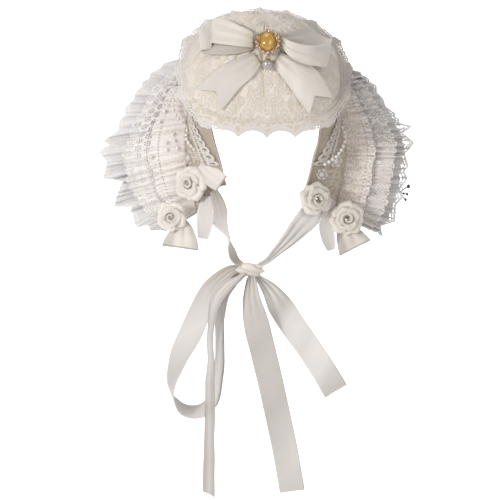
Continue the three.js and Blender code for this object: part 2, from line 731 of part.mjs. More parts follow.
// A tube along a curve through rings of different radii, closed at both ends.
function ringedTube(curve, rings, sides) {
  const steps = 200;
  const frames = curve.computeFrenetFrames(steps);
  const points = [];
  const faces = [];
  for (const ring of rings) {
    const at = Math.round(ring.u * steps);
    const centre = curve.getPointAt(ring.u);
    for (let k = 0; k < sides; k += 1) {
      const angle = (k / sides) * Math.PI * 2;
      const point = centre.clone().addScaledVector(frames.normals[at], ring.radius * Math.cos(angle));
      points.push(point.addScaledVector(frames.binormals[at], ring.radius * Math.sin(angle)));
    }
  }
  const id = (r, k) => r * sides + (k % sides);
  for (let k = 0; k < sides; k += 1) {
    for (let r = 0; r < rings.length - 1; r += 1) {
      faces.push([id(r, k), id(r, k + 1), id(r + 1, k + 1)], [id(r, k), id(r + 1, k + 1), id(r + 1, k)]);
    }
  }
  for (const r of [0, rings.length - 1]) {
    const centre = points.length;
    points.push(curve.getPointAt(rings[r].u));
    for (let k = 0; k < sides; k += 1) {
      faces.push(r === 0 ? [centre, id(r, k + 1), id(r, k)] : [centre, id(r, k), id(r, k + 1)]);
    }
  }
  return solidFrom(points, faces);
}

function pearlString(side, bends) {
  const curve = new THREE.CatmullRomCurve3(bends.map((bend) => stringPoint(side, bend.x, bend.z)));
  const length = curve.getLength();
  const count = Math.floor((length - 2 * BEAD.radius) / BEAD.pitch) + 1;
  const rings = [];
  for (let i = 0; i < count; i += 1) {
    const middle = BEAD.radius + i * BEAD.pitch;
    for (const ring of BEAD_RINGS) {
      rings.push({ u: (middle + ring.along * BEAD.radius) / length, radius: ring.radius * BEAD.radius });
    }
    if (i < count - 1) {
      rings.push({ u: (middle + BEAD.pitch / 2) / length, radius: BEAD.thread });
    }
  }
  return ringedTube(curve, rings, BEAD.sides);
}

function roundWire(curve, radius, steps, sides = 6) {
  const corners = Array.from({ length: sides }, (_, i) => {
    const angle = (i / sides) * Math.PI * 2;
    return new THREE.Vector2(radius * Math.cos(angle), radius * Math.sin(angle));
  });
  return new THREE.ExtrudeGeometry(new THREE.Shape(corners), { steps, extrudePath: curve });
}

addPiece('pearl_string_left', pearlString(LEFT, LEFT_STRING), MATERIALS.pearl);
addPiece('pearl_string_right', pearlString(RIGHT, RIGHT_STRING), MATERIALS.pearl);

// Satin bow on the crown

function bowPiece(rows, steps, notch = 0) {
  const across = [0, 0.25, 0.5, 0.75, 1];
  const total = steps + 1;
  const shape = (depth) => grid(total, across.length, (r, c) => {
    const row = (r / steps) * (rows.length - 1);
    const read = (column) => columnAt(rows, column, row);
    const t = across[c];
    let x = mix(read('ax'), read('bx'), t);
    let z = mix(read('az'), read('bz'), t);
    if (notch > 0 && r === steps && c > 0 && c < 4) {
      const last = rows[rows.length - 1];
      const before = rows[rows.length - 2];
      const runX = last.ax - before.ax + last.bx - before.bx;
      const runZ = last.az - before.az + last.bz - before.bz;
      const run = vector(runX, 0, runZ).normalize().multiplyScalar(notch * (c === 2 ? 1 : 0.5));
      x -= run.x;
      z -= run.z;
    }
    return onCrown(x, z, CROWN.pleatDepth + read('lift') + depth);
  });
  return wallBetween(shape(RIBBON.thickness / 2), shape(-RIBBON.thickness / 2));
}

function bowLoop(rows) {
  const steps = 16;
  const spine = (row) => {
    const read = (column) => columnAt(rows, column, row);
    const lift = CROWN.pleatDepth + read('lift');
    return { upper: onCrown(read('ax'), read('az'), lift), lower: onCrown(read('bx'), read('bz'), lift) };
  };
  const shape = (side) => grid(steps + 1, 2, (r, c) => {
    const row = (r / steps) * (rows.length - 1);
    const pick = (edge) => (c === 0 ? edge.upper : edge.lower);
    const here = spine(row);
    const ahead = pick(spine(row + 0.1)).sub(pick(spine(row - 0.1)));
    const across = here.lower.clone().sub(here.upper);
    const normal = ahead.cross(across).normalize();
    return pick(here).addScaledVector(normal, side * RIBBON.thickness / 2);
  });
  return wallBetween(shape(1), shape(-1));
}

function lobeSwell(size, x, z) {
  return 1 + size.lobeDepth * Math.cos(size.lobes * Math.atan2(z, x));
}

// A rounded knot with shallow lobes round its face.
function softLump(size) {
  const geometry = new THREE.SphereGeometry(1, 14, 8);
  const position = geometry.attributes.position;
  for (let i = 0; i < position.count; i += 1) {
    const point = vector(0, 0, 0).fromBufferAttribute(position, i);
    const swell = lobeSwell(size, point.x, point.z);
    position.setXYZ(i, point.x * size.halfX * swell, point.y * size.halfY, point.z * size.halfZ * swell);
  }
  return geometry;
}

// The brooch and the knot behind it face along the crown's normal where they sit.
const FACE_NORMAL = crownNormalAt(onCrown(BROOCH.x, BROOCH.z, 0));
const FACE_TILT = -Math.atan2(FACE_NORMAL.z, -FACE_NORMAL.y);

function bowKnot() {
  const seat = onCrown(BROOCH.x, BROOCH.z, CROWN.pleatDepth + GAP + BOW_KNOT.halfY + BOW_KNOT.lift);
  const lump = softLump(BOW_KNOT);
  return lump.rotateX(FACE_TILT).translate(seat.x, seat.y, seat.z);
}

addPiece('bow_loop_left', bowLoop(BOW_LOOP_LEFT), MATERIALS.satin);
addPiece('bow_loop_right', bowLoop(BOW_LOOP_RIGHT), MATERIALS.satin);
addPiece('bow_tail_left', bowPiece(BOW_TAIL_LEFT, 8, BOW_NOTCH), MATERIALS.satin);
addPiece('bow_tail_right', bowPiece(BOW_TAIL_RIGHT, 8, BOW_NOTCH), MATERIALS.satin);
addPiece('bow_knot', bowKnot(), MATERIALS.satin);

// Brooch: gilt setting ringed with cut stones, a domed stone and a pearl drop

const BROOCH_SEAT = onCrown(BROOCH.x, BROOCH.z, BROOCH.lift);
const EYE_DROP = BROOCH.stoneRing + BROOCH.stoneRadius + DROP.eyeRadius;

function turnedToFace(geometry) {
  geometry.rotateX(FACE_TILT);
  return geometry.translate(BROOCH_SEAT.x, BROOCH_SEAT.y, BROOCH_SEAT.z);
}

function eyeRing() {
  return new THREE.TorusGeometry(DROP.eyeRadius, DROP.wire, 6, 10).rotateY(Math.PI / 2);
}

function broochSetting() {
  const plate = new THREE.CylinderGeometry(BROOCH.plateRadius, BROOCH.plateRadius, BROOCH.plate, 16);
  const solids = [plate, eyeRing().translate(0, 0, -EYE_DROP)];
  const proud = BROOCH.plate / 2 + BROOCH.stoneHeight * 0.4;
  for (let i = 0; i < BROOCH.stones; i += 1) {
    const angle = (i / BROOCH.stones) * Math.PI * 2;
    const base = BROOCH.stoneRadius;
    const stone = new THREE.CylinderGeometry(base, base * 0.55, BROOCH.stoneHeight, 8);
    stone.translate(BROOCH.stoneRing * Math.cos(angle), -proud, BROOCH.stoneRing * Math.sin(angle));
    solids.push(stone);
  }
  return turnedToFace(fused(solids));
}

function cabochon() {
  const rings = 5;
  const profile = [new THREE.Vector2(0, 0), new THREE.Vector2(1, 0)];
  for (let i = 0; i < rings; i += 1) {
    const angle = (i / rings) * Math.PI / 2;
    profile.push(new THREE.Vector2(Math.cos(angle), 0.12 + 0.88 * Math.sin(angle)));
  }
  profile.push(new THREE.Vector2(0, 1));
  const stone = new THREE.LatheGeometry(profile, 16);
  stone.rotateX(Math.PI);
  stone.scale(CABOCHON.x, CABOCHON.height, CABOCHON.z);
  stone.translate(0, -BROOCH.plate / 2 - GAP, 0);
  return turnedToFace(stone);
}

// The pearl lies on the crown below the brooch, at the link's length from its eye.
const UPPER_EYE = turnedToFace(new THREE.BufferGeometry().setFromPoints([vector(0, 0, -EYE_DROP)]))
  .attributes.position;
const LINK_TOP = vector(0, 0, 0).fromBufferAttribute(UPPER_EYE, 0);
const PEARL_LIFT = DROP.radius + DROP.lift;
const EYE_REACH = DROP.radius + DROP.eyeRadius - DROP.wire;
const PEARL_Z = bisect(-20, LINK_TOP.z, (z) => {
  return onCrown(BROOCH.x, z, PEARL_LIFT).distanceTo(LINK_TOP) > EYE_REACH + DROP.linkLength;
});
const PEARL_SEAT = onCrown(BROOCH.x, PEARL_Z, PEARL_LIFT);
const LINK_RUN = LINK_TOP.clone().sub(PEARL_SEAT).normalize();
const LINK_ANGLE = Math.atan2(-LINK_RUN.y, LINK_RUN.z);

function dropPearl() {
  const ball = new THREE.SphereGeometry(DROP.radius, 12, 8);
  const drop = fused([ball, eyeRing().translate(0, 0, EYE_REACH)]);
  return drop.rotateX(LINK_ANGLE).translate(PEARL_SEAT.x, PEARL_SEAT.y, PEARL_SEAT.z);
}

function dropLink() {
  const link = new THREE.TorusGeometry(DROP.linkLength / 2, DROP.wire * 0.9, 6, 12);
  link.rotateX(Math.PI / 2).rotateX(LINK_ANGLE);
  const middle = LINK_TOP.clone().addScaledVector(LINK_RUN, -DROP.linkLength / 2);
  return link.translate(middle.x, middle.y, middle.z);
}

addPiece('brooch_setting', broochSetting(), MATERIALS.gold);
addPiece('brooch_stone', cabochon(), MATERIALS.amber);
addPiece('drop_link', dropLink(), MATERIALS.gold);
addPiece('drop_pearl', dropPearl(), MATERIALS.pearl);

// Satin roses

function rose(row) {
  const columns = 13;
  const rows = 5;
  const layer = (front) => grid(rows, columns, (r, c) => {
    const reach = (r / (rows - 1)) * (front ? 1 : PETALS.backShare);
    const theta = (c / columns) * Math.PI * 2;
    const petal = 1 + PETALS.depth * Math.cos(PETALS.count * theta);
    const turns = Math.sin(PETALS.swirls * theta - PETALS.swirlTurn * reach);
    const swirl = PETALS.swirlDepth * turns * Math.min(1, reach * 3) * (r < rows - 1 ? 1 : PETALS.edgeSwirl);
    const height = front ? row.out * Math.sqrt(1 - (1 - PETALS.edgeHeight) * reach ** 2) + swirl : 0;
    const x = row.halfX * reach * petal * Math.cos(theta);
    return vector(x, -height, row.halfZ * reach * petal * Math.sin(theta));
  });
  const geometry = wallBetween(layer(true), layer(false), true);
  return geometry.rotateZ(radians(row.turn)).translate(row.x, row.y, row.z);
}

for (const row of ROSES) {
  addPiece(`rose_${row.name}`, rose(row), MATERIALS.satin);
}

// Hanging ribbons, lace tabs and ribbon ends below the roses

function ribbon(rows, steps, thickness = RIBBON.thickness) {
  const shape = (side) => grid(steps + 1, 3, (r, c) => {
    const row = (r / steps) * (rows.length - 1);
    const middle = (at) => vector(columnAt(rows, 'x', at), columnAt(rows, 'y', at), columnAt(rows, 'z', at));
    const along = middle(row + 0.05).sub(middle(row - 0.05)).normalize();
    const flat = along.clone().cross(vector(0, 1, 0)).normalize();
    const across = flat.applyAxisAngle(along, radians(columnAt(rows, 'turn', row)));
    const normal = along.clone().cross(across).normalize();
    const half = columnAt(rows, 'width', row) / 2;
    return middle(row).addScaledVector(across, half * (c - 1)).addScaledVector(normal, side * thickness / 2);
  });
  return wallBetween(shape(1), shape(-1));
}

// A ribbon's station against the knot, in line with the station that follows it.
function stationAtKnot(next, gap) {
  const run = vector(next.x - TIE_KNOT.x, next.y - TIE_KNOT.y, next.z - TIE_KNOT.z).normalize();
  const inside = (reach) => {
    const [x, y, z] = [run.x / TIE_KNOT.halfX, run.y / TIE_KNOT.halfY, run.z / TIE_KNOT.halfZ];
    const swell = lobeSwell(TIE_KNOT, x, z);
    return reach * Math.hypot(x / swell, y, z / swell) < 1;
  };
  const reach = bisect(0, 2 * TIE_KNOT.halfX, inside) + gap;
  return {
    x: TIE_KNOT.x + run.x * reach,
    y: TIE_KNOT.y + run.y * reach,
    z: TIE_KNOT.z + run.z * reach,
    turn: next.turn,
    width: RIBBON.knotWidth,
  };
}

function fromKnot(rows, gap = RIBBON.knotGap) {
  return [stationAtKnot(rows[0], gap), ...rows];
}

function toKnot(rows, gap = RIBBON.knotGap) {
  return [...rows, stationAtKnot(rows[rows.length - 1], gap)];
}

function tieKnot() {
  return softLump(TIE_KNOT).translate(TIE_KNOT.x, TIE_KNOT.y, TIE_KNOT.z);
}

addPiece('ribbon_end_left', ribbon(RIBBON_END_LEFT, 5, RIBBON.endThickness), MATERIALS.satin);
addPiece('ribbon_end_right', ribbon(RIBBON_END_RIGHT, 5, RIBBON.endThickness), MATERIALS.satin);
addPiece('lace_tab_left', ribbon(LACE_TAB_LEFT, 6), MATERIALS.whiteLace);
addPiece('lace_tab_right', ribbon(LACE_TAB_RIGHT, 6), MATERIALS.whiteLace);
addPiece('tie_left', ribbon(toKnot(TIE_LEFT), 11), MATERIALS.satin);
addPiece('tie_right', ribbon(toKnot(TIE_RIGHT), 9), MATERIALS.satin);
addPiece('tie_loop', ribbon(toKnot(fromKnot(TIE_LOOP)), 24), MATERIALS.satin);
addPiece('tie_tail_left', ribbon(fromKnot(TIE_TAIL_LEFT, RIBBON.turnedKnotGap), 13), MATERIALS.satin);
addPiece('tie_tail_middle', ribbon(fromKnot(TIE_TAIL_MIDDLE), 11), MATERIALS.satin);
addPiece('tie_tail_right', ribbon(fromKnot(TIE_TAIL_RIGHT), 11), MATERIALS.satin);
addPiece('tie_knot', tieKnot(), MATERIALS.satin);

// Black-tipped sprig at the right ruffle's edge

function sprig() {
  const foot = vector(SPRIG.x, SPRIG.y, SPRIG.z);
  const solids = [];
  for (const bud of SPRIG_BUDS) {
    const end = vector(SPRIG.x + bud.x, SPRIG.y - SPRIG.forward, SPRIG.z + bud.z);
    const middle = foot.clone().lerp(end, 0.5).add(vector(-SPRIG.bend, 0, 0));
    solids.push(roundWire(new THREE.CatmullRomCurve3([foot, middle, end]), SPRIG.stem, 3, 5));
    solids.push(new THREE.SphereGeometry(bud.radius, 8, 5).translate(end.x, end.y, end.z));
  }
  return fused(solids);
}

addPiece('black_sprig', sprig(), MATERIALS.black);

export default bonnet;
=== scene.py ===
import bpy
import numpy as np
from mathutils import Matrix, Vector


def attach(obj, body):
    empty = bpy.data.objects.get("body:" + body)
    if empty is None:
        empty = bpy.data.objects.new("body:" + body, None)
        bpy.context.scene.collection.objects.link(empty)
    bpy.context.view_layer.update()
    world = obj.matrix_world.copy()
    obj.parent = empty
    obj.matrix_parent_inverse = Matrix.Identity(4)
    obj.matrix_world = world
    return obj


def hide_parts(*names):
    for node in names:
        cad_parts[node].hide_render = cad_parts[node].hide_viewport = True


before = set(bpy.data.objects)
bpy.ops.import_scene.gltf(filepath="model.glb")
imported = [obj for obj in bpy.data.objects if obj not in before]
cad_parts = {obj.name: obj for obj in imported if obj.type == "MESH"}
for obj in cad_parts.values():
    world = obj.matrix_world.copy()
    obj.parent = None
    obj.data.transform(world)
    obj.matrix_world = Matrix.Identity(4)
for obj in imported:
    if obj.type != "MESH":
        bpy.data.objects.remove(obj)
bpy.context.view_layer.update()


# Studio: a pale floor far below the bonnet that sweeps up into a pale wall, with a large soft
# light at the front left, weaker ones at the front right, above and on the wall, and a camera
# at the photograph's angle.

MM = 0.001
PHOTO_WIDTH = 500 * 1.27 * MM
SENSOR_WIDTH = 36
FLOOR_Z = -0.95
FLOOR_FRONT = -3.5
FLOOR_BACK = 3.2
SWEEP_RADIUS = 1.6
SWEEP_STEPS = 8
WALL_TOP = 4.0
SWEEP_HALF_WIDTH = 5
SIGHT_TARGET = Vector((-0.0203, 0, -0.212))
SIGHT_DISTANCE = 2.0
SIGHT_ELEVATION = np.radians(6)

camera_data = bpy.data.cameras.new("studio_camera")
camera_data.sensor_width = SENSOR_WIDTH
camera_data.lens = SENSOR_WIDTH * SIGHT_DISTANCE / PHOTO_WIDTH
camera_data.clip_end = 50
camera = bpy.data.objects.new("studio_camera", camera_data)
sight_line = Vector((0, -np.cos(SIGHT_ELEVATION), np.sin(SIGHT_ELEVATION)))
camera.location = SIGHT_TARGET + sight_line * SIGHT_DISTANCE
camera.rotation_euler = (np.pi / 2 - SIGHT_ELEVATION, 0, 0)
bpy.context.collection.objects.link(camera)
bpy.context.scene.camera = camera
bpy.context.scene.view_settings.view_transform = "Standard"


def soft_light(name, place, aim, size, watts, colour):
    data = bpy.data.lights.new(name, "AREA")
    data.shape = "DISK"
    data.size = size
    data.energy = watts
    data.color = colour
    light = bpy.data.objects.new(name, data)
    light.location = place
    light.rotation_euler = (Vector(aim) - Vector(place)).to_track_quat("-Z", "Y").to_euler()
    bpy.context.collection.objects.link(light)


soft_light("key_light", (-1.7, -1.85, 0.4), (0, -0.03, -0.15), 0.5, 30, (1, 0.985, 0.965))
soft_light("fill_light", (1.2, -2.2, 0.6), (0, 0, -0.2), 1.0, 9, (1, 0.97, 0.95))
soft_light("top_light", (-0.3, -0.5, 1.9), (0, 0, 0), 1.2, 6.5, (1, 0.99, 0.97))
soft_light("wall_light", (0, 1.6, 1.8), (0, 4.5, -0.3), 2.6, 190, (1, 1, 1))

world = bpy.data.worlds.new("studio")
world.use_nodes = True
background = world.node_tree.nodes["Background"]
background.inputs["Color"].default_value = (1, 0.97, 0.94, 1)
background.inputs["Strength"].default_value = 0.43
bpy.context.scene.world = world


class Signal:
    """A socket of a finish. Sums, products and comparisons of signals add Math nodes."""

    def __init__(self, tree, socket):
        self.tree = tree
        self.socket = socket

    def math(self, operation, *others):
        node = self.tree.nodes.new("ShaderNodeMath")
        node.operation = operation
        for slot, value in zip(node.inputs, (self,) + others):
            plug(self.tree, slot, value)
        return Signal(self.tree, node.outputs[0])

    def __add__(self, other):
        return self.math("ADD", other)

    def __mul__(self, other):
        return self.math("MULTIPLY", other)

    def __sub__(self, other):
        return self.math("SUBTRACT", other)

    def __rsub__(self, other):
        return (self * -1.0).math("ADD", other)

    __radd__ = __add__
    __rmul__ = __mul__

    def ramp(self, low, high):
        """0 below low and 1 above high, and a soft slope between."""
        node = self.tree.nodes.new("ShaderNodeMapRange")
        node.interpolation_type = "SMOOTHSTEP"
        plug(self.tree, node.inputs["Value"], self)
        node.inputs["From Min"].default_value = low
        node.inputs["From Max"].default_value = high
        return Signal(self.tree, node.outputs["Result"])


def plug(tree, slot, value):
    if isinstance(value, Signal):
        tree.links.new(value.socket, slot)
    else:
        slot.default_value = value


class Finish:
    """One material: a Principled shader and the nodes that feed it."""

    def __init__(self, name, **constants):
        self.material = bpy.data.materials.new(name)
        self.material.use_nodes = True
        self.tree = self.material.node_tree
        self.shader = self.tree.nodes["Principled BSDF"]
        for socket, value in constants.items():
            self.shader.inputs[socket.replace("_", " ")].default_value = value

    def node(self, kind, settings=(), output=0, **inputs):
        made = self.tree.nodes.new(kind)
        for setting, value in dict(settings).items():
            setattr(made, setting, value)
        for socket, value in inputs.items():
            plug(self.tree, made.inputs[socket.replace("_", " ")], value)
        return Signal(self.tree, made.outputs[output])

    def feed(self, socket, value):
        plug(self.tree, self.shader.inputs[socket.replace("_", " ")], value)

    def places(self):
        """Places on the object, in metres."""
        return self.node("ShaderNodeTexCoord", output="Object")

    def cloth(self, name="cloth"):
        """Places on the flat cloth, in decimetres across and along it."""
        return self.node("ShaderNodeUVMap", {"uv_map": name})

    def attribute(self, name):
        return self.node("ShaderNodeAttribute", {"attribute_name": name}, output="Fac")

    def noise(self, vector, scale, detail=3.0, roughness=0.5):
        return self.node("ShaderNodeTexNoise", Vector=vector, Scale=scale, Detail=detail,
                         Roughness=roughness)

    def turned(self, vector, degrees=0.0, scale=(1, 1, 1)):
        node = self.tree.nodes.new("ShaderNodeMapping")
        plug(self.tree, node.inputs["Vector"], vector)
        node.inputs["Rotation"].default_value = (0, 0, np.radians(degrees))
        node.inputs["Scale"].default_value = scale
        return Signal(self.tree, node.outputs[0])

    def waves(self, vector, scale, direction="X", shape="SIN", distortion=0.0, detail_scale=1.0):
        settings = {"bands_direction": direction, "wave_profile": shape}
        return self.node("ShaderNodeTexWave", settings, output="Fac", Vector=vector, Scale=scale,
                         Distortion=distortion, Detail_Scale=detail_scale)

    def blend(self, amount, first, second):
        """A colour between two colours."""
        node = self.tree.nodes.new("ShaderNodeMix")
        node.data_type = "RGBA"
        plug(self.tree, node.inputs[0], amount)
        for slot, value in ((6, first), (7, second)):
            colour = value if isinstance(value, Signal) else (*value, 1)
            plug(self.tree, node.inputs[slot], colour)
        return Signal(self.tree, node.outputs[2])

    def bump(self, height, depth, strength=1.0):
        """Relief of a depth in metres."""
        node = self.tree.nodes.new("ShaderNodeBump")
        node.inputs["Strength"].default_value = strength
        node.inputs["Distance"].default_value = depth
        plug(self.tree, node.inputs["Height"], height)
        self.feed("Normal", Signal(self.tree, node.outputs[0]))


def studio_sweep():
    """A floor that curves up into a wall behind the bonnet."""
    profile = [(FLOOR_FRONT, FLOOR_Z), (FLOOR_BACK, FLOOR_Z)]
    for step in range(1, SWEEP_STEPS + 1):
        angle = step / SWEEP_STEPS * np.pi / 2
        rise = SWEEP_RADIUS * (1 - np.cos(angle))
        profile.append((FLOOR_BACK + SWEEP_RADIUS * np.sin(angle), FLOOR_Z + rise))
    profile.append((FLOOR_BACK + SWEEP_RADIUS, WALL_TOP))
    places = [(x, y, z) for y, z in profile for x in (-SWEEP_HALF_WIDTH, SWEEP_HALF_WIDTH)]
    faces = [(2 * i, 2 * i + 1, 2 * i + 3, 2 * i + 2) for i in range(len(profile) - 1)]
    mesh = bpy.data.meshes.new("studio_sweep")
    mesh.from_pydata(places, [], faces)
    mesh.polygons.foreach_set("use_smooth", [True] * len(faces))
    sweep = bpy.data.objects.new("studio_sweep", mesh)
    bpy.context.collection.objects.link(sweep)
    paper = Finish("pale_paper", Roughness=0.9)
    grain = paper.noise(paper.places(), 60.0)
    paper.feed("Base Color", paper.blend(grain, (0.92, 0.92, 0.92), (0.95, 0.95, 0.95)))
    mesh.materials.append(paper.material)


studio_sweep()


# Crown front: an oval puff of ivory satin under cream lace, gathered to the middle under the
# brooch, with rows of corded fans in the lace along its edge. It is sewn to the crown's back.

CROWN_CENTRE = np.array([0, -47, 18.0])
CROWN_HALF_WIDTH = 95
CROWN_HALF_LENGTH = 80
CROWN_RISE = 72
CROWN_PUFF = 1.8
CROWN_TOP_LEAN = 9
FORWARD_TILT = np.radians(54)
BROW_SQUARENESS = 2.8
CROWN_AXIS = np.array([0, -np.sin(FORWARD_TILT), np.cos(FORWARD_TILT)])
CROWN_BROW = np.array([0, -np.cos(FORWARD_TILT), -np.sin(FORWARD_TILT)])
GATHER = (0.5, -29)
PLEATS = 36
PLEAT_DEPTH = 3.4
CROWN_GIRTH = 560.0
LACE_SPAN = 118
LACE_FANS = 22
FAN_FIELD = 80


def soft_step(low, high, value):
    share = np.clip((value - low) / (high - low), 0, 1)
    return share * share * (3 - 2 * share)


def unit(vectors):
    return vectors / np.maximum(np.linalg.norm(vectors, axis=-1, keepdims=True), 1e-12)


def crown_radius(theta):
    power = 2 + (BROW_SQUARENESS - 2) * soft_step(-0.2, 0.6, np.sin(theta))
    across = np.abs(np.cos(theta)) / CROWN_HALF_WIDTH
    along = np.abs(np.sin(theta)) / CROWN_HALF_LENGTH
    return (across ** power + along ** power) ** (-1 / power)


def crown_lean(along):
    return -CROWN_TOP_LEAN * (CROWN_HALF_LENGTH - along) / (2 * CROWN_HALF_LENGTH)


def crown_point(phi, theta):
    radius = crown_radius(theta) * np.sin(phi)
    along = radius * np.sin(theta)
    cosine = np.cos(phi)
    height = CROWN_RISE * np.where(cosine > 0, np.maximum(cosine, 0) ** CROWN_PUFF, cosine)
    across = radius * np.cos(theta) + crown_lean(along)
    point = CROWN_CENTRE + along[..., None] * CROWN_BROW + height[..., None] * CROWN_AXIS
    point[..., 0] += across
    return point


def surface_normal(surface, u, v, step):
    along_u = surface(u + step, v) - surface(u - step, v)
    along_v = surface(u, v + step) - surface(u, v - step)
    return unit(np.cross(along_u, along_v))


def crown_normal(phi, theta):
    return -surface_normal(crown_point, np.maximum(phi, 0.02), theta, 0.004)


def soft_noise(x, y, seed, scale):
    """A smooth field from -1 to 1 that is the same at each run."""
    waves = np.random.default_rng(seed)
    total = 0
    for _ in range(7):
        angle = waves.uniform(0, 2 * np.pi)
        pitch = waves.uniform(0.6, 1.6) / scale
        phase = waves.uniform(0, 2 * np.pi)
        total = total + np.sin(2 * np.pi * pitch * (x * np.cos(angle) + y * np.sin(angle)) + phase)
    return total / 3.5


def crown_pleats(point, from_edge):
    """How far the gathered lace stands out, in millimetres, and the shade painted in its valleys.
    """
    across = point[..., 0] - GATHER[0]
    down = (point - CROWN_CENTRE) @ CROWN_BROW - GATHER[1]
    distance = np.hypot(across, down)
    angle = np.arctan2(down, across)
    turn = PLEATS * angle / (2 * np.pi) + 0.35 * np.sin(3 * angle + 1)
    turn = turn + 0.01 * distance * np.sin(5 * angle)
    ridge = np.abs(np.sin(np.pi * turn)) ** 0.65
    strength = 0.75 + 0.35 * np.sin(7 * angle + 0.6) + 0.25 * np.sin(11 * angle + 2)
    depth = PLEAT_DEPTH * soft_step(6, 22, distance) * (1 - 0.8 * soft_step(40, 100, distance))
    fans = 1 - 0.6 * soft_step(34, 10, from_edge)
    lumps = 0.9 * soft_noise(point[..., 0], down, 3, 40)
    fold = depth * strength * fans
    # Painted shade, deepest in the valleys between deep pleats.
    crease = soft_step(0.6, 0.1, ridge) * np.clip(fold / 1.8, 0, 1)
    return fold * (ridge - 0.62) + lumps * soft_step(0, 18, from_edge), crease


def grid_faces(rows, columns, ring=False):
    cells = columns if ring else columns - 1
    row, column = np.meshgrid(np.arange(rows - 1), np.arange(cells), indexing="ij")
    after = (column + 1) % columns
    start, below = row * columns, (row + 1) * columns
    corners = [start + column, start + after, below + after, below + column]
    return np.stack(corners, axis=-1).reshape(-1, 4)


def corner_numbers(mesh):
    """The number of the place at each corner of each face."""
    numbers = np.empty(len(mesh.loops), int)
    mesh.loops.foreach_get("vertex_index", numbers)
    return numbers


def make_piece(name, points, faces, finish, cloth=None, values=(), seam=None):
    """A smooth mesh from places in millimetres, with its places on the flat cloth in decimetres
    and a value at each place for each name in values. A seam is a closed cloth's length round."""
    mesh = bpy.data.meshes.new(name)
    points = np.asarray(points).reshape(-1, 3)
    faces = faces.tolist() if isinstance(faces, np.ndarray) else faces
    mesh.from_pydata((points * MM).tolist(), [], faces)
    mesh.polygons.foreach_set("use_smooth", np.ones(len(faces), bool))
    if cloth is not None:
        corner = np.asarray(cloth).reshape(-1, 2)[corner_numbers(mesh)]
        if seam is not None:
            corner = corner.reshape(len(faces), -1, 2)
            behind = corner[..., 0].max(axis=1, keepdims=True) - corner[..., 0] > seam / 2
            corner[..., 0] += seam * behind
        mesh.uv_layers.new(name="cloth").data.foreach_set("uv", corner.ravel())
    for label, value in dict(values).items():
        layer = mesh.attributes.new(label, "FLOAT", "POINT")
        layer.data.foreach_set("value", np.asarray(value, float).ravel())
    piece = bpy.data.objects.new(name, mesh)
    bpy.context.collection.objects.link(piece)
    mesh.materials.append(finish.material)
    return piece


def select_only(*pieces):
    bpy.ops.object.select_all(action="DESELECT")
    for piece in pieces:
        piece.select_set(True)
    bpy.context.view_layer.objects.active = pieces[0]


def apply_modifier(piece, kind, **settings):
    select_only(piece)
    modifier = piece.modifiers.new(kind.lower(), kind)
    for setting, value in settings.items():
        setattr(modifier, setting, value)
    bpy.ops.object.modifier_apply(modifier=modifier.name)


def thicken(piece, thickness, offset=0.0):
    apply_modifier(piece, "SOLIDIFY", thickness=thickness * MM, offset=offset,
                   use_even_offset=False)


crown_lace = Finish("crown_lace", Roughness=0.72, Sheen_Weight=0.25)
threads = crown_lace.cloth()
edge_map = crown_lace.cloth("from_edge")
along_edge = crown_lace.node("ShaderNodeSeparateXYZ", output=0, Vector=edge_map)
in_from_edge = crown_lace.node("ShaderNodeSeparateXYZ", output=1, Vector=edge_map)


def lace_fan(base, shift):
    """A row of fans of cord that open inwards, and where they lie."""
    offset = (along_edge + shift).math("FRACT") - 0.5
    rise = in_from_edge - base
    reach = (offset * offset + rise * rise).math("SQRT")
    rings = (reach * 52.0).math("SINE").ramp(0.35, 0.95)
    ribs = (rise.math("ARCTAN2", offset) * 12.0).math("SINE").ramp(0.5, 1.0) * reach.ramp(0.1, 0.2)
    inside = reach.ramp(0.52, 0.49) * rise.ramp(-0.02, 0.0)
    return (rings * 0.8).math("MAXIMUM", ribs * 0.7) * inside, inside


def zigzag(height, tall):
    wander = ((along_edge * 1.5).math("FRACT") - 0.5).math("ABSOLUTE") * tall
    return (in_from_edge - wander - height).math("ABSOLUTE").ramp(0.1, 0.04)


def net_of(finish, places, degrees, scale):
    """Two sets of threads that cross."""
    first = finish.waves(finish.turned(places, degrees), scale, "X")
    return first * finish.waves(finish.turned(places, -degrees), scale, "X")


def cells(finish, places, scale, feature="DISTANCE_TO_EDGE"):
    settings = {"feature": feature}
    return finish.node("ShaderNodeTexVoronoi", settings, Vector=places, Scale=scale)


net = net_of(crown_lace, threads, 60, 24)
wandering = crown_lace.noise(threads, 3.5, 2.0)
raised = zigzag(1.35, 0.6).math("MAXIMUM", zigzag(1.55, 0.6)).math("MAXIMUM", zigzag(2.0, 0.7))
raised = raised.math("MAXIMUM", zigzag(2.45, 0.7)) * 0.95
for base, shift in ((0.78, 0.0), (0.36, 0.5), (-0.08, 0.0)):
    fan, inside = lace_fan(base, shift)
    raised = raised * (1 - inside) + fan
leaf = cells(crown_lace, threads, 11.0).ramp(0.14, 0.05)
raised = raised.math("MAXIMUM", leaf * crown_lace.noise(threads, 5.0, 2.0).ramp(0.46, 0.6) * 0.6)
hollow = crown_lace.attribute("hollow")
ground = net.ramp(0.1, 0.8) * 0.7 + wandering * 0.3
ground = crown_lace.blend(ground, (0.73, 0.66, 0.55), (0.80, 0.75, 0.68))
worked = crown_lace.blend(raised, ground, (0.90, 0.86, 0.84))
# Painted shade: the pleats' valleys are blended towards olive.
crown_lace.feed("Base Color", crown_lace.blend(hollow * 0.8, worked, (0.56, 0.48, 0.30)))
crown_lace.feed("Roughness", 0.5 + 0.3 * raised)
crown_lace.bump(net * 0.2 + raised * 1.0 + crown_lace.noise(threads, 90.0) * 0.2, 0.0008)


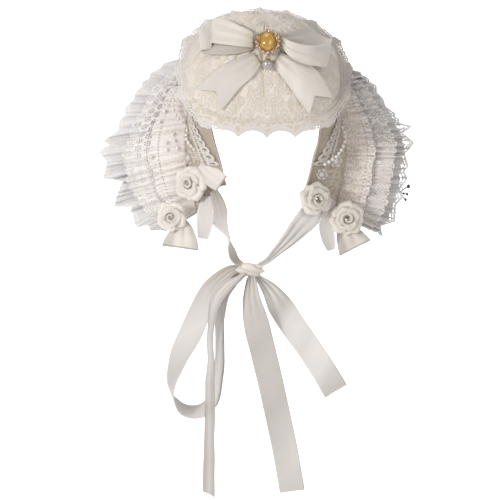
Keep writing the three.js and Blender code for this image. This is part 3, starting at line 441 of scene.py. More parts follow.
def crown_front():
    rows, columns = 64, 360
    phi = np.linspace(0.03, np.pi / 2, rows)[:, None] + np.zeros(columns)
    theta = np.linspace(0, 2 * np.pi, columns, endpoint=False) + np.zeros((rows, 1))
    point = crown_point(phi, theta)
    from_edge = (1 - phi / (np.pi / 2)) * LACE_SPAN
    relief, crease = crown_pleats(point, from_edge)
    sewn = soft_step(0, 5, from_edge)
    out = point + crown_normal(phi, theta) * (relief * sewn - 0.3)[..., None]
    cloth = np.stack([point[..., 0], (point - CROWN_CENTRE) @ CROWN_BROW], axis=-1) / 100
    fan_depth = (1 - np.sin(phi)) * FAN_FIELD * LACE_FANS / CROWN_GIRTH
    edge_place = np.stack([theta / (2 * np.pi) * LACE_FANS, fan_depth], axis=-1).reshape(-1, 2)
    points = np.vstack([out.reshape(-1, 3), out[0].mean(axis=0)])
    cloth = np.vstack([cloth.reshape(-1, 2), cloth[0].mean(axis=0)])
    faces = grid_faces(rows, columns, ring=True).tolist()
    faces += [[len(points) - 1, (k + 1) % columns, k] for k in range(columns)]
    # The painted shade of the pleats' valleys goes to the finish as a value at each place.
    values = {"hollow": np.append(crease, 0)}
    piece = make_piece("crown_front_lace", points, faces, crown_lace, cloth, values)
    placed = np.vstack([edge_place, (0, 3.14)])[corner_numbers(piece.data)]
    last_column = np.arange(4 * (rows - 1) * columns).reshape(rows - 1, columns, 4)[:, -1].ravel()
    wrapped = last_column[placed[last_column, 0] < 1]
    placed[wrapped, 0] += LACE_FANS
    piece.data.uv_layers.new(name="from_edge").data.foreach_set("uv", placed.ravel())
    thicken(piece, 1.3, -1)
    return piece


crown_front_lace = crown_front()
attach(crown_front_lace, "root")
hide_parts("crown_front")


# Crown back: plain ivory satin from the puff's edge to the rim over the head, eased into the rim
# with small gathers and finished there with a narrow rolled binding.

RIM_Y = -94
RIM_Z = -48.5
RIM_SLOPE = np.radians(24)
BACK_GATHERS = 46
SATIN_WALL = 1.2


def rim_height(y):
    return RIM_Z + (y - RIM_Y) * np.tan(RIM_SLOPE)


def rim_turn(theta):
    """How far round from the puff's middle the rim lies."""
    low = np.full_like(theta, np.pi / 2)
    high = np.full_like(theta, np.pi)
    for _ in range(30):
        middle = (low + high) / 2
        place = crown_point(middle, theta)
        above = place[..., 2] > rim_height(place[..., 1])
        low = np.where(above, middle, low)
        high = np.where(above, high, middle)
    return low


def tube(path, radius, sides=8, closed=True, strands=0, lay=0.0):
    """A cord round a path of places. Strands give it the lay of a twisted cord."""
    path = np.asarray(path, float)
    if closed:
        along = unit(np.roll(path, -1, axis=0) - np.roll(path, 1, axis=0))
    else:
        along = unit(np.gradient(path, axis=0))
    up = unit(np.cross(along, (0.21, 0.97, 0.12)))
    side = np.cross(along, up)
    run = np.linalg.norm(np.diff(path, axis=0, prepend=path[:1]), axis=1).cumsum()[:, None]
    angle = np.arange(sides) / sides * 2 * np.pi + np.zeros((len(path), 1))
    twisted = 1 + 0.22 * np.cos(strands * angle - lay * run) * (strands > 0)
    thick = np.asarray(radius).reshape(-1, 1) * twisted
    ring = path[:, None, :] + up[:, None, :] * (thick * np.cos(angle))[..., None]
    ring = ring + side[:, None, :] * (thick * np.sin(angle))[..., None]
    rows = len(path)
    points = ring.reshape(-1, 3)
    lengths = rows if closed else rows - 1
    row, column = np.meshgrid(np.arange(lengths), np.arange(sides), indexing="ij")
    below = (row + 1) % rows * sides
    after = (column + 1) % sides
    corners = [row * sides + column, below + column, below + after, row * sides + after]
    faces = np.stack(corners, axis=-1).reshape(-1, 4).tolist()
    if not closed:
        faces.append(list(range(sides))[::-1])
        faces.append(list(range((rows - 1) * sides, rows * sides)))
    return points, faces


def join_parts(parts):
    """One list of places and faces from several."""
    points, faces = [], []
    count = 0
    for place, face in parts:
        points.append(np.asarray(place).reshape(-1, 3))
        faces += [[corner + count for corner in one] for one in face]
        count += len(points[-1])
    return np.vstack(points), faces


def outward(piece):
    """Turns the faces of a closed piece to point out."""
    select_only(piece)
    bpy.ops.object.mode_set(mode="EDIT")
    bpy.ops.mesh.select_all(action="SELECT")
    bpy.ops.mesh.normals_make_consistent(inside=False)
    bpy.ops.object.mode_set(mode="OBJECT")
    return piece


def closed_piece(name, parts, finish):
    """One piece from several closed parts."""
    points, faces = join_parts(parts)
    return outward(make_piece(name, points, faces, finish))


satin = Finish("ivory_satin", Roughness=0.3, Sheen_Weight=0.25, Sheen_Roughness=0.4,
               Anisotropic=0.45, Specular_IOR_Level=0.75)
cloth_way = satin.cloth()
crease = satin.attribute("crease")
cloudy = satin.noise(satin.turned(cloth_way, 0, (1, 0.35, 1)), 7.0, 3.0)
warp = satin.waves(cloth_way, 62, "X", distortion=0.6, detail_scale=2.0)
weft = satin.noise(satin.turned(cloth_way, 0, (30, 260, 1)), 1.0, 2.0)
white_base = satin.blend(cloudy, (0.87, 0.845, 0.835), (0.93, 0.91, 0.905))
cream_base = satin.blend(cloudy, (0.90, 0.85, 0.785), (0.95, 0.91, 0.855))
base = satin.blend(satin.attribute("warm"), white_base, cream_base)
base = satin.blend(satin.attribute("shade"), base, (0.50, 0.46, 0.43))
# Painted shade: folds and gathers are blended towards olive.
base = satin.blend(crease, base, (0.56, 0.48, 0.29))
satin.feed("Base Color", satin.blend(warp.ramp(0.5, 1.0) * 0.12, base, (0.90, 0.87, 0.84)))
satin.feed("Roughness", 0.24 + 0.14 * cloudy + 0.08 * weft)
satin.bump(warp * 0.3 + weft * 0.35 + cloudy * 1.3, 0.0004)


def crown_back():
    rows, columns = 26, 276
    theta = np.linspace(0, 2 * np.pi, columns, endpoint=False) + np.zeros((rows, 1))
    seam = np.pi / 2 + 0.006
    share = np.linspace(0, 1, rows)[:, None] + np.zeros(columns)
    phi = seam + (rim_turn(theta) - seam) * share
    point = crown_point(phi, theta)
    gathers = np.abs(np.sin(BACK_GATHERS / 2 * theta + 0.4 * np.sin(5 * theta)))
    eased = (soft_step(0.45, 1, share) + 0.7 * soft_step(0.3, 0.0, share)) * (gathers - 0.5)
    swell = 0.9 * soft_noise(theta * 60, share * 70, 21, 38)
    swell = swell * soft_step(0, 0.3, share) * soft_step(1, 0.7, share)
    out = point + crown_normal(phi, theta) * (0.9 * eased + swell - 0.5)[..., None]
    girth = CROWN_GIRTH / 100
    cloth = np.stack([theta / (2 * np.pi) * girth, share * 1.2], axis=-1)
    # Painted shade in the valleys of the gathers.
    values = {"crease": soft_step(-0.25, -0.5, eased) * 0.5}
    piece = make_piece("crown_back_satin", out, grid_faces(rows, columns, ring=True), satin, cloth,
                       values, seam=girth)
    thicken(piece, SATIN_WALL, -1)
    return piece


crown_back_satin = crown_back()
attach(crown_back_satin, "root")
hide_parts("crown_back")


def rim_binding():
    theta = np.linspace(0, 2 * np.pi, 300, endpoint=False)
    phi = rim_turn(theta)
    path = crown_point(phi - 0.012, theta) - crown_normal(phi, theta) * 0.8
    ruck = 1.7 * (1 + 0.10 * np.sin(74 * theta) + 0.06 * np.sin(23 * theta + 1))
    return closed_piece("rim_binding", [tube(path, ruck, 10)], satin)


rim_roll = rim_binding()
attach(rim_roll, "root")


# Lace edge: a band of white net round the puff's edge with a corded border of arcs and points,
# sewn down along its inner edge and falling forward over the brow.

HEM_POINTS = 16
HEM_OVERLAP = 0.17
HEM_SEAT = 3.0
HEM_VALLEY = 8.0
HEM_TIP = 12.4
HEM_BROW_EXTRA = 6.0
HEM_FALL = 0.5
HEM_BAND = 11.2
NET_PITCH = 2.9
NET_ROW = NET_PITCH * 0.87


def cut_lace(u, v, kept):
    """The part of a grid where kept is above 0, cut on smooth lines: its places and its faces."""
    rows, columns = u.shape
    index = np.arange(rows * columns).reshape(rows, columns)
    quarters = (index[:-1, :-1], index[:-1, 1:], index[1:, 1:], index[1:, :-1])
    a, b, c, d = (quarter.ravel() for quarter in quarters)
    row, column = np.meshgrid(np.arange(rows - 1), np.arange(columns - 1), indexing="ij")
    odd_cell = ((row + column) % 2 == 1).ravel()
    first = np.stack([a, b, np.where(odd_cell, d, c)], axis=1)
    second = np.stack([np.where(odd_cell, b, a), c, d], axis=1)
    corners = np.vstack([first, second])
    value = kept.ravel()
    value = np.where(np.abs(value) < 1e-6, -1e-6, value)
    inside = value > 0
    count = inside[corners].sum(axis=1)
    whole = corners[count == 3]
    mixed = corners[(count == 1) | (count == 2)]
    single = (count == 1)[(count == 1) | (count == 2)]
    lone = np.argmax(inside[mixed] == single[:, None], axis=1)
    turned = np.take_along_axis(mixed, (lone[:, None] + np.arange(3)) % 3, axis=1)
    ends = np.vstack([turned[:, [0, 1]], turned[:, [0, 2]]])
    low, high = ends.min(axis=1), ends.max(axis=1)
    keys, which = np.unique(low * value.size + high, return_inverse=True)
    low, high = keys // value.size, keys % value.size
    share = np.clip(value[low] / (value[low] - value[high]), 0.04, 0.96)
    flat = np.stack([u.ravel(), v.ravel()], axis=1)
    places = np.vstack([flat, flat[low] + (flat[high] - flat[low]) * share[:, None]])
    which = which.reshape(-1) + value.size
    near, far = which[: len(turned)], which[len(turned):]
    tips = np.stack([turned[:, 0], near, far], axis=1)[single]
    stump = ~single
    quads = [np.stack([near, turned[:, 1], turned[:, 2]], axis=1)[stump],
             np.stack([near, turned[:, 2], far], axis=1)[stump]]
    faces = np.vstack([whole, tips] + quads)
    used, faces = np.unique(faces, return_inverse=True)
    return places[used, 0], places[used, 1], faces.reshape(-1, 3)


def net_threads(x, y, pitch, thread):
    """Above 0 on the threads of a net of small diamonds with a cross thread."""
    across = np.abs(((x + 0.58 * y) / pitch) % 1 - 0.5) * pitch * 0.86
    other = np.abs(((x - 0.58 * y) / pitch) % 1 - 0.5) * pitch * 0.86
    return thread / 2 - np.minimum(pitch * 0.43 - across, pitch * 0.43 - other)


def cord_line(distance, width):
    return width / 2 - np.abs(distance)


def hem_reach(theta):
    """How far the border reaches past the band, with three sharp points over the brow."""
    at = theta / (2 * np.pi) * HEM_POINTS
    share = np.abs(1 - 2 * (at % 1))
    brow = soft_step(0.2, 0.9, np.sin(theta))
    uneven = 0.7 * np.sin(5 * theta + 1.3) + 0.5 * np.sin(11 * theta)
    uneven = uneven + 1.5 * np.abs(np.sin(HEM_POINTS * 2.5 * theta + 0.6)) ** 0.7 - 0.8
    middle = soft_step(0.8, 0.95, np.sin(theta))
    arcs = (HEM_TIP - HEM_VALLEY) * share ** 2.4 * (1 + 1.1 * middle) - 4.6 * middle
    return HEM_VALLEY + arcs + HEM_BROW_EXTRA * brow + uneven * (1 - 0.8 * middle)


def hem_point(theta, depth):
    """depth runs in millimetres from the band's inner edge."""
    reach = np.maximum(depth - HEM_BAND, 0)
    phi = np.pi / 2 - HEM_OVERLAP * np.clip(1 - depth / HEM_BAND, 0, 1)
    brow = soft_step(0.2, 0.9, np.sin(theta))
    fall = HEM_FALL * (0.4 + 0.6 * brow)
    normal = crown_normal(phi, theta)
    seat = HEM_SEAT - 4.2 * soft_step(HEM_BAND * 0.8, 0, depth)
    ripple = 0.9 * np.sin(HEM_POINTS * 2 * theta + 0.8) + 1.0 * np.sin(29 * theta)
    ripple = ripple + 0.7 * np.sin(51 * theta)
    lift = seat + reach * np.sqrt(1 - fall ** 2)
    flare = reach * fall - ripple * soft_step(0, 9, reach) * (0.7 - 0.55 * brow)
    return crown_point(phi, theta) + normal * lift[..., None] - CROWN_AXIS * flare[..., None]


white_lace = Finish("white_lace", Roughness=0.78, Sheen_Weight=0.2)
twist = white_lace.cloth()
thread_grain = white_lace.waves(white_lace.turned(twist, 35), 46, "X", distortion=1.2,
                                detail_scale=3.0)
raised_cord = white_lace.attribute("cord")
soft_grey = white_lace.noise(twist, 9.0)
lace_ground = white_lace.blend(soft_grey, (0.735, 0.70, 0.68), (0.80, 0.77, 0.755))
leaves = cells(white_lace, twist, 14.0).ramp(0.16, 0.06)
cream_lace = white_lace.blend(leaves, (0.735, 0.67, 0.56), (0.85, 0.80, 0.755))
lace_ground = white_lace.blend(white_lace.attribute("cream"), lace_ground, cream_lace)
lace_ground = white_lace.blend(raised_cord, lace_ground, (0.87, 0.85, 0.845))
lace_shade = white_lace.attribute("shade")
white_lace.feed("Base Color", white_lace.blend(lace_shade, lace_ground, (0.50, 0.455, 0.42)))
white_lace.feed("Roughness", 0.62 + 0.25 * thread_grain)
white_lace.bump(thread_grain * 0.5 + raised_cord * 0.8, 0.0003)


def lace_edge():
    """Net inside, a ladder between two cords along the edge and a ribbed fan at each point."""
    columns, rows = 740, 30
    deepest = HEM_BAND + HEM_TIP + HEM_BROW_EXTRA + 7
    theta, depth = np.meshgrid(np.linspace(0, 2 * np.pi, columns), np.linspace(0, deepest, rows))
    reach = hem_reach(theta)
    edge = HEM_BAND + reach - depth
    along = theta / (2 * np.pi) * CROWN_GIRTH
    pitch = CROWN_GIRTH / HEM_POINTS
    offset = ((along / pitch + 0.5) % 1 - 0.5) * pitch
    from_tip = np.hypot(offset, depth - (HEM_BAND + 9 + 0.5 * (reach - HEM_VALLEY)))
    row = np.round(depth / NET_ROW)
    from_hole = (along + NET_PITCH / 2 * (row % 2)) % NET_PITCH - NET_PITCH / 2
    hole = np.hypot(from_hole, depth - row * NET_PITCH * 0.87)
    cords = np.maximum(cord_line(edge - 0.8, 1.7), cord_line(edge - 3.9, 1.3))
    bars = cord_line(((along + 1.3) % 2.6) - 1.3, 0.8)
    ladder = np.minimum(bars, cord_line(edge - 2.4, 4.2))
    fan_middle = np.minimum(7.0 - from_tip, 1.2 - np.abs(from_tip - 2.2))
    fans = np.maximum(cord_line(from_tip - 6.4, 1.0), fan_middle)
    bearing = np.arctan2(depth - (HEM_BAND + 9), offset)
    ribs = np.minimum(cord_line(np.sin(bearing * 5) * from_tip / 5, 0.8), 7 - from_tip)
    inner = np.maximum(cord_line(depth - 1.0, 2.0), cord_line(depth - HEM_BAND + 1, 1.0))
    figure = np.maximum.reduce([cords, fans, ribs, inner])
    net = np.where(edge > 4.4, hole - 0.8 * soft_step(10, 7, edge), ladder)
    close_net = (soft_step(0.6, 0.9, np.sin(theta)) - 0.5) * 4 - 1.2 * (np.abs(edge - 2.4) < 0.8)
    kept = np.minimum(np.maximum.reduce([figure, net, close_net]), edge)
    return cut_lace(theta, depth, kept)


def hem_piece():
    u, v, faces = lace_edge()
    places = hem_point(u, v)
    edge = HEM_BAND + hem_reach(u) - v
    cord = np.clip(1.2 - np.minimum(np.abs(edge - 0.7), np.abs(edge - 4.4)) / 0.9, 0, 1)
    cloth = np.stack([u / (2 * np.pi) * CROWN_GIRTH / 100, v / 100], axis=-1)
    cream = soft_step(4.5, 8, edge) * (0.55 + 0.45 * soft_step(0.0, 0.7, np.sin(u)))
    values = {"cord": cord, "cream": cream, "shade": 0.12 + 0.7 * soft_step(0.4, 0.95, np.cos(u))}
    piece = make_piece("crown_edge_lace", places, faces, white_lace, cloth, values)
    thicken(piece, 0.8, 0)
    return piece


crown_edge_lace = hem_piece()
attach(crown_edge_lace, "root")
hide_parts("crown_lace_edge")


# Side panels: a beige cloth panel hangs from the crown's rim on each side, faced with a flowered
# lace and edged in front with a narrow twisted braid.

LEFT, RIGHT = -1, 1
PANEL_WALL = 1.5
PANEL_BACK_Y = 4.0
PANEL_TAIL = (-138, -158, -166)
# One row for each height of the side panel, as an ellipse seen from above: the height, its
# widest half width, its front-to-back half depth, its centre and its front edge.
PANEL_SECTIONS = np.array([(-2, 88, 62, -28, -78), (-20, 91, 76, -22, -76),
                           (-38, 95, 86, -12, -72), (-60, 100, 80, -2, -62),
                           (-90, 103, 73, 4, -56), (-120, 100, 63, 4, -50),
                           (-140, 96, 56, 3, -46), (-168, 90, 52, 2, -40)], float)


def smooth_rows(rows, place):
    """Rows of numbers read smoothly at fractional row numbers."""
    rows = np.asarray(rows, float)
    last = len(rows) - 1
    at = np.clip(place, 0, last)
    i = np.minimum(np.floor(at).astype(int), last - 1)
    t = (at - i)[..., None]
    before, start, end, after = (rows[np.clip(i + k, 0, last)] for k in (-1, 0, 1, 2))
    bend = 2 * start - 2 * end + (end - before + after - start) / 2
    turn = 3 * end - 3 * start - (end - before) - (after - start) / 2
    return bend * t ** 3 + turn * t ** 2 + (end - before) / 2 * t + start


def panel_section(z):
    row = np.interp(-np.asarray(z, float), -PANEL_SECTIONS[:, 0], np.arange(len(PANEL_SECTIONS)))
    return smooth_rows(PANEL_SECTIONS, row)


def rim_lean(y):
    offset = np.stack([y * 0, y, rim_height(y)], axis=-1) - CROWN_CENTRE * (0, 1, 1)
    return crown_lean(offset @ CROWN_BROW)


def panel_side(side, y, z):
    section = panel_section(z)
    reach = np.clip((y - section[..., 3]) / section[..., 2], -0.99, 0.99)
    return side * section[..., 1] * np.sqrt(1 - reach ** 2) + rim_lean(y) * soft_step(-110, -15, z)


def panel_place(side, u, v):
    front, middle, back = PANEL_TAIL
    front = front + 11 * (side == LEFT)
    tail = np.where(u < 0.4, front + (middle - front) * soft_step(0, 0.4, u),
                    middle + (back - middle) * soft_step(0.4, 1, u))
    z = np.full(np.shape(u), float(RIM_Z))
    for _ in range(6):
        y = panel_section(z)[..., 4] * (1 - u) + PANEL_BACK_Y * u
        z = tail * (1 - v) + (rim_height(y) - 0.4) * v
    return np.stack([panel_side(side, y, z), y, z], axis=-1)


panel_cloth = Finish("beige_panel_cloth", Roughness=0.7, Sheen_Weight=0.3)
panel_weave = panel_cloth.cloth()
weave = panel_cloth.waves(panel_weave, 40, "X") * panel_cloth.waves(panel_weave, 40, "Y")
flowers = cells(panel_cloth, panel_weave, 5.2, "F1")
petal_ring = (flowers * 26.0).math("SINE").ramp(-0.1, 0.7)
vine = cells(panel_cloth, panel_weave, 10.0).ramp(0.12, 0.03)
worked_lace = (petal_ring * flowers.ramp(0.5, 0.3)).math("MAXIMUM", vine * 0.8)
# Less lace shows where the panel is painted in shade.
worked_lace = worked_lace * panel_cloth.attribute("laced")
faded = panel_cloth.noise(panel_weave, 3.0)
plain_cloth = panel_cloth.blend(faded, (0.40, 0.335, 0.255), (0.52, 0.455, 0.37))
panel_cloth.feed("Base Color", panel_cloth.blend(worked_lace, plain_cloth, (0.70, 0.64, 0.575)))
panel_cloth.feed("Roughness", 0.66 + 0.2 * weave)
panel_cloth.bump(weave * 0.25 + worked_lace * 1.0, 0.0006)


def side_panel(side, name):
    rows, columns = 84, 64
    u, v = np.meshgrid(np.linspace(0, 1, columns), np.linspace(0, 1, rows))
    point = panel_place(side, u, v)
    normal = surface_normal(lambda a, b: panel_place(side, a, b), np.clip(u, 0.01, 0.99),
                            np.clip(v, 0.01, 0.99), 0.006)
    normal = unit(normal * (1, 1, 0)) * side
    slack = 0.9 * soft_noise(point[..., 1], point[..., 2], 31 + side, 34) - 0.7
    puckers = np.sin(point[..., 1] * 0.8 + 2 * soft_noise(u * 9, v * 14, 5, 9))
    slack = slack + 0.35 * puckers * soft_step(0.2, 0, v)
    out = point + normal * slack[..., None]
    cloth = np.stack([point[..., 1] - point[..., 0] * 0.25, point[..., 2]], axis=-1) / 100
    # The right panel's lace is shown at six tenths, as painted shade on that side.
    laced = soft_step(0.12, 0.3, u) * soft_step(1, 0.9, v) * (1 if side == LEFT else 0.6)
    faces = grid_faces(rows, columns)
    if side == LEFT:
        faces = faces[:, ::-1]
    piece = make_piece(name, out, faces, panel_cloth, cloth, {"laced": laced})
    thicken(piece, PANEL_WALL, -1)
    return piece


panel_left_cloth = side_panel(LEFT, "panel_left_cloth")
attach(panel_left_cloth, "root")
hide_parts("side_panel_left")

panel_right_cloth = side_panel(RIGHT, "panel_right_cloth")
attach(panel_right_cloth, "root")
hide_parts("side_panel_right")


braid_thread = Finish("braid_thread", Roughness=0.7, Sheen_Weight=0.2)
braid_grain = braid_thread.noise(braid_thread.places(), 900.0)
braid_tone = braid_thread.blend(braid_grain, (0.50, 0.44, 0.35), (0.64, 0.58, 0.50))
braid_thread.feed("Base Color", braid_tone)
braid_thread.bump(braid_grain, 0.0002)


def panel_braid(side, name):
    v = np.linspace(0.0, 0.985, 90)
    path = panel_place(side, np.full_like(v, 0.004), v)
    path[:, 1] -= 0.4
    cord = tube(path, 0.9, 10, closed=False, strands=2, lay=1.4)
    return closed_piece(name, [cord], braid_thread)


for braid in (panel_braid(LEFT, "panel_left_braid"), panel_braid(RIGHT, "panel_right_braid")):
    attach(braid, "root")


# Ruffles: three gathered layers fan out from each panel. The front one is a frill of fine lace,
# the middle one white eyelet cotton and the back one pale tulle with a corded, pointed edge.

RUFFLE_Y = -8.0
ROOT_FOLD = 1.4
TIP_FOLD = 6.0
# Each layer's reach, how far its root lies behind the middle layer's, its edge's lean, and the
# share of the folds' depth that shows on the left and on the right.
FRONT_LAYER = (0.42, -3.7, -7.5, (0.32, 0.85))
MIDDLE_LAYER = (0.74, 0, -1, (0.3, 0.75))
BACK_LAYER = (1.0, 3.7, 15, (0.62, 0.8))
# One row for each station down a ruffle: the height of its root and the place of its outer edge.
LEFT_FAN = [(14, 111, 31), (-5, 146, 11), (-26, 174, -27), (-48, 195, -64), (-74, 208, -92),
            (-100, 203, -126), (-128, 187, -157), (-150, 153, -183), (-164, 128, -189)]
RIGHT_FAN = [(14, 103, 22), (-5, 128, 9), (-26, 151, -15), (-50, 173, -49), (-76, 186, -77),
             (-102, 183, -105), (-130, 178, -139), (-152, 166, -176), (-164, 148, -195)]


def crown_side(side, y, z):
    offset = np.stack([y * 0, y, z], axis=-1) - CROWN_CENTRE * (0, 1, 1)
    height = np.clip(offset @ CROWN_AXIS / CROWN_RISE, -1, 1)
    cosine = np.where(height > 0, np.maximum(height, 0) ** (1 / CROWN_PUFF), height)
    spread = np.sqrt(1 - cosine ** 2)
    along = offset @ CROWN_BROW
    low, high = np.full_like(along, -np.pi / 2), np.full_like(along, np.pi / 2)
    for _ in range(26):
        middle = (low + high) / 2
        under = crown_radius(middle) * spread * np.sin(middle) < along
        low, high = np.where(under, middle, low), np.where(under, high, middle)
    return side * crown_radius(low) * spread * np.cos(low) + crown_lean(along)


def ruffle_root(side, y, z):
    return np.where(z < rim_height(y), panel_side(side, y, z), crown_side(side, y, z))


def fold_wave(place, folds, seed):
    """Rounded folds of uneven size, from -1 to 1."""
    drift = 0.7 * np.sin(2 * np.pi * place * 3 + seed)
    drift = drift + 0.45 * np.sin(2 * np.pi * place * 7.3 + 2 * seed)
    turn = np.pi * (folds * 2 * place + drift)
    swell = 0.7 + 0.3 * np.sin(2 * np.pi * place * 5.1 + seed)
    return (np.cos(turn) + 0.16 * np.sin(2 * turn + 0.6)) * swell


def ruffle_surface(side, layer, place, r, folds, seed):
    """Places on a layer, at a share of the way down its root and from the root to its edge. The
    root is read on a coarse row of stations and blended between them."""
    share, root_back, edge_back, strengths = layer
    stations = np.linspace(0, 1, 181)
    fan = LEFT_FAN if side == LEFT else RIGHT_FAN
    row = smooth_rows(fan, stations * (len(fan) - 1))
    root_y = RUFFLE_Y + root_back + 0 * stations
    root_x = np.interp(place, stations, side * ruffle_root(side, root_y, row[..., 0]) - 1.0)
    row = smooth_rows(fan, place * (len(fan) - 1))
    reach = r * share
    wave = fold_wave(place, folds, seed)
    fine = 0.34 * fold_wave(place + 0.004 * np.sin(9 * r), folds * 2.6, seed + 2)
    depth = ROOT_FOLD + (TIP_FOLD - ROOT_FOLD) * reach
    depth = depth * (1 + 1.3 * np.exp(-((place - 0.68) / 0.1) ** 2) * (side == LEFT))
    sway = 0.30 * np.sin(3.1 * r + 5 * place * np.pi + seed) * r
    folded = depth * strengths[side == RIGHT] * (wave + (fine + sway) * (0.35 + r))
    y = RUFFLE_Y + root_back + (edge_back - root_back) * r - folded
    x = root_x + (row[..., 1] - root_x) * reach
    z = row[..., 0] + (row[..., 2] - row[..., 0]) * reach
    return np.stack([side * x, y, z], axis=-1)


RUFFLE_SPAN = 108
RUFFLE_WALL = 0.8
DEEPEST_PAINTED_SHADE = 1.15


def laced_ruffle(name, side, layer, folds, seed, grid_size, cut, finish, wide):
    """One layer, cut to its lace's outline. Shade is painted into the hollows between folds and at
    the root, and over the whole right ruffle."""
    columns, rows, crowding = grid_size
    depths = np.linspace(0, 1, rows) ** crowding * cut.deepest
    place, r = np.meshgrid(np.linspace(0, 1, columns), depths)
    u, v, faces = cut_lace(place, r, cut(place, r))
    points = ruffle_surface(side, layer, u, v, folds, seed)
    cloth = np.stack([u * wide / 100, v * (RUFFLE_SPAN * layer[0]) / 100], axis=-1)
    # Painted shade in the folds' hollows and at the root, and on the right over the whole ruffle,
    # more at its top.
    hollow = soft_step(0.1, -0.9, fold_wave(u, folds, seed)) * (1 - 0.55 * v)
    root = soft_step(0.42, 0.0, v * layer[0])
    if side == RIGHT:
        hollow = 0.6 * hollow + 0.56 + 0.4 * soft_step(0.4, 0.1, u) + 0.9 * root
        faces = faces[:, ::-1]
    else:
        hollow = hollow + 0.15 * root
    values = {"cord": cut.cords(u, v), "hollow": np.clip(hollow, 0, DEEPEST_PAINTED_SHADE)}
    piece = make_piece(name, points, faces, finish, cloth, values)
    thicken(piece, RUFFLE_WALL, 0)
    return piece


class PointedTulle:
    """The back layer: tulle to a pointed edge that carries a cord, on the right with a second
    cord and open bars behind it."""

    def __init__(self, edge, open_edge):
        self.edge = np.array(edge)
        self.open_edge = open_edge
        self.deepest = self.edge[:, 1].max() + 0.02

    def reach(self, place):
        return np.interp(place, self.edge[:, 0], self.edge[:, 1])

    def to_edge(self, place, r):
        """Millimetres in from the slanted edge."""
        straight = (self.reach(place) - r) * RUFFLE_SPAN
        rise = (self.reach(place + 0.004) - self.reach(place - 0.004)) / 0.008
        slope = rise * RUFFLE_SPAN / 400
        return straight / np.sqrt(1 + slope ** 2)

    def __call__(self, place, r):
        inside = self.to_edge(place, r)
        if not self.open_edge:
            return inside
        body = (0.86 + 0.012 * np.sin(place * 2 * np.pi * 22) - r) * RUFFLE_SPAN
        rim = cord_line(inside - 1.8, 3.6)
        second = cord_line(inside - 6.6, 2.2)
        bars = cord_line((place * 400) % 9 - 4.5, 1.7)
        return np.minimum(np.maximum.reduce([body, rim, second, bars]), inside)

    def cords(self, place, r):
        inside = self.to_edge(place, r)
        rim = np.clip(1.6 - np.abs(inside - 1.2) / 1.1, 0, 1)
        return np.maximum(rim, np.clip(1.3 - np.abs(inside - 5.4) / 0.8, 0, 1))


class EyeletCotton:
    """The middle layer: rosettes of small holes in rows above a scalloped, overcast edge."""

    deepest = 1.04
    span = 80
    pitch = 13.5
    rosette_rows = ((8.5, 0), (19.5, 0.5), (31, 0))

    def __init__(self, wide):
        self.wide = wide

    def to_edge(self, place, r):
        scallop = np.abs(np.sin(np.pi * place * self.wide / self.pitch)) ** 0.7
        return (0.955 + 0.045 * scallop + 0.012 * np.sin(place * 41) - r) * self.span

    def holes(self, place, r):
        """Millimetres to the middle of the nearest hole."""
        along, depth = place * self.wide, (1 - r) * self.span
        nearest = np.full_like(along, 9.0)
        for base, shift in self.rosette_rows:
            dx = ((along / self.pitch + shift) % 1 - 0.5) * self.pitch
            dy = depth - base
            bearing = (np.arctan2(dy, dx) + np.pi / 6) % (np.pi / 3) - np.pi / 6
            away = np.hypot(dx, dy)
            ring = np.hypot(away * np.cos(bearing) - 3.7, away * np.sin(bearing))
            nearest = np.minimum(nearest, np.minimum(ring, away))
        bar_x = (along % 4.5) - 2.25
        slots = np.hypot(bar_x, np.maximum(np.abs(depth - 2.6) - 0.5, 0)) + 0.15
        return np.minimum(nearest, slots)

    def __call__(self, place, r):
        wide_open = 1.35 - 0.5 * soft_step(0.35, 0.55, place)
        return np.minimum(self.to_edge(place, r), self.holes(place, r) - wide_open)

    def cords(self, place, r):
        overcast = np.clip(1.5 - np.abs(self.holes(place, r) - 1.7) / 0.5, 0, 1)
        edging = np.clip(1.4 - np.abs(self.to_edge(place, r) - 0.7) / 0.7, 0, 1)
        return np.maximum(overcast, edging)


class FrillLace:
    """The front layer: a fine lace frill with small scallops, a ring of holes in each and a row
    of holes behind them."""

    deepest = 1.06
    span = 46
    pitch = 11
    ring_depth = 3.2

    def __init__(self, wide):
        self.wide = wide

    def local(self, place, r):
        """Millimetres from the nearest scallop's middle and in from the edge."""
        offset = ((place * self.wide / self.pitch) % 1 - 0.5) * self.pitch
        return offset, (1 - r) * self.span

    def to_edge(self, place, r):
        offset, depth = self.local(place, r)
        arc = 2.4 * np.sqrt(np.maximum(1 - (offset / 5.5) ** 2, 0))
        return depth + arc - 1.2 + 1.2 * np.sin(place * 37)

    def __call__(self, place, r):
        offset, depth = self.local(place, r)
        away = np.hypot(offset, depth - self.ring_depth)
        bearing = np.arctan2(depth - self.ring_depth, offset)
        bearing = (bearing % (np.pi / 4)) - np.pi / 8
        petals = np.hypot(away * np.cos(bearing) - 3.3, away * np.sin(bearing)) - 0.75
        row = np.hypot(((place * self.wide) % 4.4) - 2.2, depth - 11.0) - 1.05
        return np.minimum.reduce([self.to_edge(place, r), petals, row])

    def cords(self, place, r):
        inside = self.to_edge(place, r)
        offset, depth = self.local(place, r)
        ring = np.abs(np.hypot(offset, depth - self.ring_depth) - 5.0)
        edging = np.clip(1.4 - np.abs(inside - 0.8) / 0.8, 0, 1)
        return np.maximum(edging, np.clip(1.2 - ring / 0.6, 0, 1))


